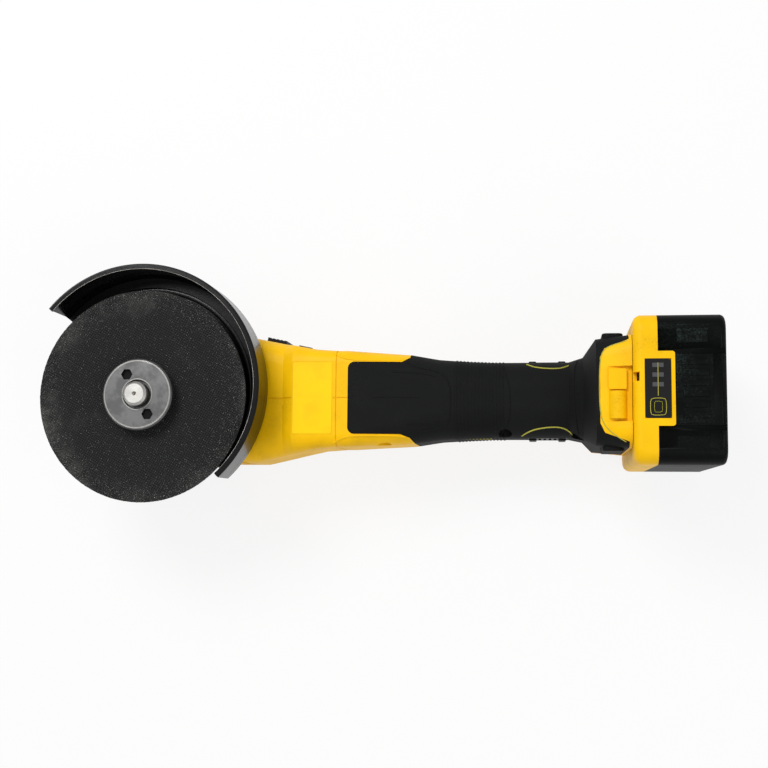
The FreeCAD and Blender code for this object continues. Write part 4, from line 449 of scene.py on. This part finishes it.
def ring_profile(piece, steps):
    """Draws a ring through (radius, height) steps in mm about the spindle, by extruding and resizing."""
    reach, height = steps[0]
    for radius, z in steps[1:]:
        bpy.ops.mesh.extrude_region_move(TRANSFORM_OT_translate={"value": (0, 0, (z - height) * MM)})
        grow = radius / reach
        bpy.ops.transform.resize(value=(grow, grow, 1.0), center_override=(0, 0, z * MM))
        reach, height = radius, z


def turned_ring(name, steps, body, slot, finish=None, sides=128):
    """Closed ring of revolution; the steps end where they start."""
    drop_all()
    radius, z = steps[0]
    bpy.ops.mesh.primitive_circle_add(vertices=sides, radius=radius * MM, location=(0, 0, z * MM))
    piece = added(name)
    bpy.ops.mesh.select_mode(type="EDGE")
    bpy.ops.mesh.select_all(action="SELECT")
    ring_profile(piece, steps)
    bpy.ops.mesh.select_all(action="SELECT")
    bpy.ops.mesh.remove_doubles(threshold=0.00002)
    bpy.ops.mesh.normals_make_consistent(inside=False)
    return done(piece, body, slot, finish)


def swept_arc(name, reach, z, wide, high, angles, body, slot, finish=None, centre=(0.0, 0.0), steps=120):
    """Strip of rectangular section spun about Z, with rounded edges."""
    a0, a1 = (math.radians(a) for a in angles)
    drop_all()
    place = ((centre[0] + reach * math.cos(a0)) * MM, (centre[1] + reach * math.sin(a0)) * MM, z * MM)
    bpy.ops.mesh.primitive_plane_add(size=1.0, location=place, rotation=(math.pi / 2, 0, a0))
    bpy.context.object.scale = (wide * MM, high * MM, 1.0)
    piece = added(name)
    middle = (centre[0] * MM, centre[1] * MM, 0)
    bpy.ops.mesh.spin(steps=steps, angle=a1 - a0, center=middle, axis=(0, 0, -1))
    bpy.ops.mesh.select_all(action="SELECT")
    bpy.ops.mesh.remove_doubles(threshold=0.000005)
    bpy.ops.mesh.normals_make_consistent(inside=False)
    bpy.ops.object.mode_set(mode="OBJECT")
    apply(piece, "BEVEL", width=min(wide, high) * 0.25 * MM, segments=2, limit_method="ANGLE")
    return done(piece, body, slot, finish)


def raised_line(name, points, wide, body, slot, finish=None, on=None, closed=False, cuts=3):
    """Thin raised line through points in mm, laid down on a surface from above."""
    drop_all()
    x, y, z = points[0]
    bpy.ops.mesh.primitive_plane_add(size=0.001, location=(x * MM, y * MM, z * MM))
    piece = added(name)
    bpy.ops.mesh.merge(type="CENTER")
    bpy.ops.mesh.select_mode(type="VERT")
    bpy.ops.mesh.select_all(action="SELECT")
    for before, after in zip(points, points[1:]):
        step = tuple((b - a) * MM for a, b in zip(before, after))
        bpy.ops.mesh.extrude_vertices_move(TRANSFORM_OT_translate={"value": step})
    if closed:
        cage = bmesh.from_edit_mesh(piece.data)
        for vert in cage.verts:
            vert.select_set(len(vert.link_edges) == 1)
        cage.select_flush_mode()
        bmesh.update_edit_mesh(piece.data)
        bpy.ops.mesh.edge_face_add()
    bpy.ops.object.mode_set(mode="OBJECT")
    apply(piece, "SUBSURF", levels=cuts, render_levels=cuts, boundary_smooth="PRESERVE_CORNERS")
    if on:
        apply(piece, "SHRINKWRAP", target=on, wrap_method="PROJECT", use_project_z=True,
              use_positive_direction=False, use_negative_direction=True, project_limit=0.0)
    take(piece)
    bpy.ops.object.convert(target="CURVE")
    piece = bpy.context.object
    piece.data.bevel_depth = wide / 2 * MM
    piece.data.bevel_resolution = 2
    piece.data.use_fill_caps = True
    bpy.ops.object.convert(target="MESH")
    piece = bpy.context.object
    return done(piece, body, slot, finish, 60.0)


def slab(name, low, high, round_mm, body, slot, finish=None, inset=None):
    """Block with rounded edges, and a sunk panel in its top where an inset is given."""
    drop_all()
    middle = [(a + b) / 2 * MM for a, b in zip(low, high)]
    bpy.ops.mesh.primitive_cube_add(size=1.0, location=middle)
    bpy.context.object.scale = [(b - a) * MM for a, b in zip(low, high)]
    piece = added(name)
    if inset:
        choose(piece, lambda centre, normal: normal.z > 0.9)
        bpy.ops.mesh.inset(thickness=inset[0] * MM, depth=-inset[1] * MM)
    bpy.ops.object.mode_set(mode="OBJECT")
    apply(piece, "BEVEL", width=round_mm * MM, segments=2, limit_method="ANGLE")
    return done(piece, body, slot, finish)


def copies(piece, name, steps, body, slot, finish=None):
    """Copies of a piece, each with its own mesh, moved by steps in mm."""
    for i, step in enumerate(steps):
        twin = bpy.data.objects.new(f"{name}_{i + 2}", piece.data.copy())
        bpy.context.collection.objects.link(twin)
        take(twin)
        bpy.ops.object.mode_set(mode="EDIT")
        bpy.ops.mesh.select_all(action="SELECT")
        bpy.ops.transform.translate(value=tuple(v * MM for v in step))
        done(twin, body, slot, finish)


# ---- disc and nut -----------------------------------------------------------
def bonded_disc():
    """Disc with grit standing out of its faces and a worn, uneven rim."""
    rings = 62
    span = DISC_R - 0.3 - DISC_BORE_R
    rim = DISC_R - 0.3
    steps = [(DISC_BORE_R + span * i / 16, DISC_Z0 + 0.2) for i in range(17)]
    steps += [(rim + 0.1, DISC_Z0 + 0.9), (rim + 0.1, DISC_Z0 + 1.5), (rim + 0.1, DISC_Z1 - 0.9)]
    steps += [(rim - span * i / rings, DISC_Z1 - 0.2) for i in range(rings + 1)]
    drop_all()
    radius, z = steps[0]
    bpy.ops.mesh.primitive_circle_add(vertices=420, radius=radius * MM, location=(0, 0, z * MM))
    disc = added("bonded_disc")
    bpy.ops.mesh.select_mode(type="EDGE")
    bpy.ops.mesh.select_all(action="SELECT")
    ring_profile(disc, steps)
    cage = bmesh.from_edit_mesh(disc.data)
    for edge in cage.edges:
        edge.select_set(edge.is_boundary)
    bmesh.update_edit_mesh(disc.data)
    bpy.ops.mesh.bridge_edge_loops()
    bpy.ops.mesh.select_all(action="SELECT")
    bpy.ops.mesh.normals_make_consistent(inside=False)
    bpy.ops.object.mode_set(mode="OBJECT")
    grit = bpy.data.textures.new("grit", "CLOUDS")
    grit.noise_scale = 0.0011
    grit.noise_depth = 2
    apply(disc, "DISPLACE", texture=grit, texture_coords="LOCAL", strength=0.00045, mid_level=0.5)
    done(disc, "spindle", "abrasive", smooth=60.0)
    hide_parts("grinding_disc")


def nut_rings():
    """Turned lips on the face of the clamp nut, and the spindle's thread crests in its bore."""
    z = NUT_TOP_Z
    lip = [(19.0, z - 0.2), (19.1, z + 0.12), (19.9, z + 0.12), (20.1, z - 0.1), (19.9, z - 0.2)]
    lip.append(lip[0])
    turned_ring("nut_outer_lip", lip, "spindle", "nut_steel", "bright_edge")
    lip = [(8.5, z - 0.2), (8.6, z + 0.1), (9.2, z + 0.1), (9.4, z - 0.2), (8.5, z - 0.2)]
    turned_ring("nut_inner_lip", lip, "spindle", "nut_steel", "bright_edge")
    # The thread crests are dark steel: painted shade in the bore of the nut.
    for i in range(SPINDLE_THREADS):
        low = THREAD_Z0 + i * THREAD_PITCH
        crest = [(6.5, low), (7.05, low + 0.45), (7.05, low + 0.65), (6.5, low + 1.1), (6.5, low)]
        turned_ring(f"spindle_thread_{i + 1}", crest, "spindle", "spindle_steel", "thread_painted_shade", 64)


def nut_holes():
    """Painted shade: black floors set in the two spanner holes."""
    for i, turn in enumerate((NUT_HOLE_ANGLE, NUT_HOLE_ANGLE + 180.0)):
        a = math.radians(turn)
        reach = NUT_HOLE_REACH * MM
        place = (reach * math.cos(a), reach * math.sin(a), (NUT_TOP_Z - NUT_HOLE_DEPTH) * MM)
        drop_all()
        bpy.ops.mesh.primitive_cylinder_add(vertices=6, radius=NUT_HOLE_R * MM, depth=0.3 * MM, location=place,
                                            rotation=(0, 0, a))
        floor_piece = added(f"nut_hole_{i + 1}")
        choose(floor_piece, lambda centre, normal: normal.z > 0.9)
        bpy.ops.mesh.inset(thickness=0.6 * MM, depth=-0.1 * MM)
        done(floor_piece, "spindle", "nut_steel", "painted_hole_shade")


# ---- guard ------------------------------------------------------------------
def guard_highlight_and_beads():
    """Painted highlight along the rim as a strip of bright steel, and the beads pressed into the plate."""
    def strip(name, reach, z, wide, high, short, finish=None):
        angles = (GUARD_A0 + short, GUARD_A1 - short)
        swept_arc(name, reach, z, wide, high, angles, "guard", "guard_paint", finish, GUARD_CENTRE)

    # Painted highlight: a bright steel strip along the rim's inner edge stands in for the light on the rounded
    # lip.
    strip("guard_rim_highlight", GUARD_R - 3.0, GUARD_TOP_Z - 0.35, 0.5, 0.6, 0.4, "rim_highlight_steel")
    strip("guard_plate_bead", 60.5, 72.1, 3.0, 0.9, 4)
    strip("guard_skirt_bead", GUARD_R - 0.25, 79.0, 0.5, 2.4, 3)


# ---- grip -------------------------------------------------------------------
def grip_ribs(side):
    """Fine ribs across the grip: strips of the cover's own skin, thickened."""
    name = f"grip_ribs_{side}"
    ribs = node_copy(name, f"grip_cover_{side}")
    take(ribs)
    bpy.ops.object.mode_set(mode="EDIT")
    count = int((RIB_X1 - RIB_X0) / RIB_PITCH)
    for i in range(count + 1):
        for x in (RIB_X0 + i * RIB_PITCH, RIB_X0 + i * RIB_PITCH + RIB_W):
            bpy.ops.mesh.select_all(action="SELECT")
            bpy.ops.mesh.bisect(plane_co=(x * MM, 0, 0), plane_no=(1, 0, 0))

    def between(centre, normal):
        along = (centre.x - RIB_X0) / RIB_PITCH
        in_rib = 0 <= along < count + 1 and (along % 1.0) * RIB_PITCH < RIB_W
        rise = centre.z - GRIP_MID_Z
        outward = normal.y * centre.y + normal.z * rise > 0.25 * math.hypot(centre.y, rise)
        return not (in_rib and outward and abs(normal.x) < 0.4)

    choose(ribs, between)
    bpy.ops.mesh.delete(type="FACE")
    bpy.ops.object.mode_set(mode="OBJECT")
    apply(ribs, "SOLIDIFY", thickness=RIB_HEIGHT * MM, offset=1.0, use_even_offset=False)
    done(ribs, "root", "soft_cover", None, 30.0)


def on_skin(name, outline, wide, skin, slot="soft_cover", finish=None):
    """Raised line along an outline of (x, y) points, laid on the skin of the tool."""
    raised_line(name, [(x, y, ABOVE_Z) for x, y in outline], wide, "root", slot, finish, skin)


def grip_lines(skin):
    """Outline of the palm rest, creases of the soft cover and the border of the ribs."""
    palm = [(154.0, 21.1), (158.8, 18.7), (161.8, 17.6), (168.0, 16.6), (173.4, 15.1), (177.5, 11.8),
            (179.2, 7.7), (179.6, -1.1), (179.6, -10.2), (177.9, -14.7), (173.7, -17.4), (166.8, -18.9),
            (162.3, -19.6), (160.5, -21.4)]
    on_skin("palm_outline", palm, 0.8, skin)
    on_skin("palm_fold_left", [(145.8, 15.1), (155.3, 14.8), (166.6, 13.7), (170.5, 12.4)], 0.7, skin)
    on_skin("palm_fold_right", [(153.9, -15.5), (161.5, -15.7), (169.0, -15.5), (172.9, -14.2)], 0.7, skin)
    on_skin("window_crease", [(133.3, 0.0), (142.8, 0.2), (154.2, 0.0), (161.7, 0.1)], 0.35, skin)
    border = [(210.6, 18.7), (211.8, 14.3), (213.8, 6.2), (214.2, -1.2), (214.2, -9.5), (212.3, -17.0)]
    on_skin("rib_border", border, 0.6, skin)
    crease = [(252.6, 21.6), (251.1, 16.1), (250.7, 7.7), (250.8, -0.7), (251.3, -9.2), (252.5, -17.6),
              (253.4, -21.6)]
    on_skin("foot_crease", crease, 0.9, skin)


def screw_wells():
    """Painted shade: black lining of the screw wells in the grip, the wells' own walls, thickened inwards."""
    wells = node_copy("screw_wells", "grip_cover_right", "housing_right")
    take(wells)
    bpy.ops.object.mode_set(mode="EDIT")

    def elsewhere(centre, normal):
        for x, z in SCREW_WELLS:
            reach = math.hypot(centre.x - x, centre.z - z)
            if WELL_R - 0.6 < reach < WELL_R + 0.3 and centre.y < WELL_FLOOR_Y and abs(normal.y) < 0.3:
                return False
        return True

    choose(wells, elsewhere)
    bpy.ops.mesh.delete(type="FACE")
    bpy.ops.object.mode_set(mode="OBJECT")
    apply(wells, "SOLIDIFY", thickness=WELL_LINING * MM, offset=1.0, use_even_offset=False)
    done(wells, "root", "soft_cover", "painted_hole_shade")


def vent_rims(skin):
    """Thin yellow lines of the shell that show round the intake covers and under the grip."""
    top = [(223.6, 20.6), (227.3, 18.6), (234.3, 17.6), (242.2, 17.4), (245.9, 18.4), (248.2, 19.6)]
    on_skin("vent_rim_left", top, 0.9, skin, "yellow_shell", "olive_line")
    low = [(220.6, -21.4), (224.3, -19.4), (228.3, -17.9), (234.7, -16.9), (241.6, -16.5), (246.2, -17.8),
           (249.0, -19.6), (249.6, -21.0)]
    on_skin("vent_rim_right", low, 0.9, skin, "yellow_shell", "olive_line")
    seam = [(174.0, -22.9, 47.0), (188.0, -22.7, 47.0), (203.0, -22.6, 47.0)]
    raised_line("seam_line", seam, 0.9, "root", "yellow_shell", "olive_line")


def shell_lines(skin):
    """Edges of the shell beside the window and of the bare foot."""
    edge = [(111.0, 26.4), (115.0, 24.0), (119.5, 22.6), (126.0, 22.3), (138.0, 22.2), (147.0, 22.1),
            (153.0, 22.8)]
    for side, name in ((1, "left"), (-1, "right")):
        on_skin(f"arm_edge_{name}", [(x, side * y) for x, y in edge], 1.2, skin, "yellow_shell")
    rim = [(278.6, 26.8), (271.4, 25.0), (266.0, 22.8), (264.3, 18.0), (263.7, 10.0), (263.6, 2.0),
           (263.7, -8.0), (264.4, -14.6), (266.4, -19.8), (271.8, -24.6), (277.6, -28.0)]
    on_skin("foot_rim", rim, 0.6, skin, "yellow_shell", "olive_line")


# ---- battery pack -----------------------------------------------------------
def black_case():
    """Lower half of the pack with its top set below the bezel, and what is moulded on it."""
    case = node_copy("black_case", "pack_lower_case")
    take(case)
    bpy.ops.object.mode_set(mode="EDIT")
    bpy.ops.mesh.select_mode(type="VERT")
    bpy.ops.mesh.select_all(action="DESELECT")
    cage = bmesh.from_edit_mesh(case.data)
    for vert in cage.verts:
        vert.select_set(vert.co.z > (PACK_TOP_Z - 0.05) * MM)
    cage.select_flush_mode()
    bmesh.update_edit_mesh(case.data)
    bpy.ops.transform.translate(value=(0, 0, -PACK_STEP * MM))
    done(case, "battery_pack", "pack_black", None, 35.0)
    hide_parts("pack_lower_case")
    z0 = PACK_TOP_Z - PACK_STEP - 0.4
    z1 = PACK_TOP_Z
    on_case = ("battery_pack", "pack_black")
    sunk = (0.8, 0.15)
    slab("case_field", (303.6, -18.6, z0), (323.0, 18.4, z1 - 0.35), 0.25, *on_case, "pack_dust", (0.9, 0.2))
    low, high = (306.6, 12.6, z0), (320.6, 16.0, z1 - 0.02)
    bar = slab("case_rib_1", low, high, 0.5, *on_case, "pack_dust", (0.7, 0.15))
    copies(bar, "case_rib", [(0.15 * i, -5.7 * i, 0) for i in range(1, 6)], *on_case, "pack_dust")
    slab("case_pad", (304.0, 24.4, z0), (320.5, 34.4, z1 - 0.15), 0.35, *on_case, "pack_dust", sunk)
    slab("case_pad_low", (304.0, -35.0, z0), (320.5, -25.4, z1 - 0.3), 0.35, *on_case, None, sunk)


def gauge_marks():
    """Lines printed on the gauge: a stem through the lamps, a rounded frame and a plain cell."""
    z = PACK_TOP_Z - 0.2
    stem = [(294.0, 13.8, z), (294.0, 4.0, z), (294.0, -4.0, z)]
    raised_line("gauge_stem", stem, 0.4, "battery_pack", "gauge_black", "olive_line", cuts=1)
    corners = [(290.6, -5.2), (297.4, -5.2), (298.2, -6.0), (298.2, -13.6), (297.4, -14.4), (290.6, -14.4),
               (289.8, -13.6), (289.8, -6.0)]
    outline = [(x, y, z) for x, y in corners]
    raised_line("gauge_frame", outline, 0.4, "battery_pack", "gauge_black", "olive_line", closed=True, cuts=1)
    z = PACK_TOP_Z - 0.3
    cell = [(292.3, -6.9), (295.7, -6.9), (296.1, -7.4), (296.1, -12.3), (295.7, -12.8), (292.3, -12.8),
            (291.9, -12.3), (291.9, -7.4)]
    printed = ("gauge_button", "button_black", "cell_print")
    raised_line("cell_mark", [(x, y, z) for x, y in cell], 0.45, *printed, closed=True, cuts=1)
    slab("cell_mark_tip", (293.1, -6.7, z - 0.2), (294.9, -6.1, z + 0.08), 0.1, *printed, (0.1, 0.02))
    slab("cell_mark_charge", (292.7, -12.1, z - 0.2), (295.3, -9.7, z + 0.08), 0.1, *printed, (0.15, 0.02))


# ---- gear case --------------------------------------------------------------
def case_fins():
    """Cast ribs round the gear case."""
    for i, z in enumerate((14.0, 19.5, 44.5, 50.0)):
        crest = FIN_R + FIN_PROUD
        rib = [(FIN_R, z - 1.0), (crest - 0.3, z - 0.6), (crest, z), (crest - 0.3, z + 0.6), (FIN_R, z + 1.0)]
        rib.append(rib[0])
        turned_ring(f"case_fin_{i + 1}", rib, "root", "case_metal")


skin = node_copy("skin", "grip_cover_left", "grip_cover_right", "housing_left", "housing_right")
bonded_disc()
nut_rings()
nut_holes()
guard_highlight_and_beads()
grip_ribs("left")
grip_ribs("right")
grip_lines(skin)
screw_wells()
vent_rims(skin)
shell_lines(skin)
black_case()
gauge_marks()
case_fins()
bpy.data.objects.remove(skin)


# ---- floor, light and camera ------------------------------------------------
def floor():
    """White ground that keeps the shadow and shows white to the camera and in reflections."""
    bpy.ops.object.select_all(action="DESELECT")
    bpy.ops.mesh.primitive_plane_add(size=6.0, location=(0.14, 0.0, -0.0002))
    plane = bpy.context.object
    plane.name = "floor"
    f = Finish("floor_paper", Roughness=0.9)
    grain = f.noise(60, 3)
    f.set("Base Color", f.mix(grain, (0.80, 0.80, 0.80), (0.82, 0.82, 0.82)))
    path = f.tree.nodes.new("ShaderNodeLightPath")
    seen = Term(f, path.outputs["Is Camera Ray"]).larger(Term(f, path.outputs["Is Glossy Ray"]))
    glow = f.node("ShaderNodeEmission", {}, {"Color": (1.0, 1.0, 1.0), "Strength": 1.0})
    both = f.tree.nodes.new("ShaderNodeMixShader")
    f._plug(both.inputs[0], seen * 0.84)
    f.tree.links.new(f.shader.outputs[0], both.inputs[1])
    f.tree.links.new(glow.socket, both.inputs[2])
    f.tree.links.new(both.outputs[0], f.tree.nodes["Material Output"].inputs[0])
    plane.data.materials.append(f.material)


def lamp(name, place, aim, size, power):
    """Square lamp aimed at a point, in metres and watts."""
    light = bpy.data.lights.new(name, "AREA")
    light.energy = power
    light.size = size
    lamp_object = bpy.data.objects.new(name, light)
    lamp_object.location = place
    lamp_object.rotation_euler = (Vector(aim) - Vector(place)).to_track_quat("-Z", "Y").to_euler()
    bpy.context.collection.objects.link(lamp_object)


def studio():
    """Even white surroundings with a key lamp and a fill."""
    scene = bpy.context.scene
    scene.view_settings.view_transform = "Standard"
    world = bpy.data.worlds.new("studio")
    scene.world = world
    world.use_nodes = True
    world.node_tree.nodes["Background"].inputs["Color"].default_value = (1.0, 1.0, 1.0, 1.0)
    world.node_tree.nodes["Background"].inputs["Strength"].default_value = 0.55
    lamp("key", (-0.35, 0.75, 1.3), (0.12, 0.0, 0.05), 0.6, 14.0)
    lamp("fill", (0.9, -0.6, 1.2), (0.15, 0.0, 0.05), 0.9, 5.0)


def camera():
    """Camera above the tool, tilted a little both ways."""
    data = bpy.data.cameras.new("camera")
    data.sensor_width = 36.0
    data.lens = CAMERA_F / 768 * 36.0
    view = bpy.data.objects.new("camera", data)
    view.location = CAMERA_AT
    view.rotation_euler = [math.radians(angle) for angle in CAMERA_TURN]
    bpy.context.collection.objects.link(view)
    bpy.context.scene.camera = view


CAMERA_F = 1248.4      # in image widths of 768
CAMERA_AT = (0.2350, -0.0682, 0.7912)
CAMERA_TURN = (6.045, 7.395, 0.504)
floor()
studio()
camera()
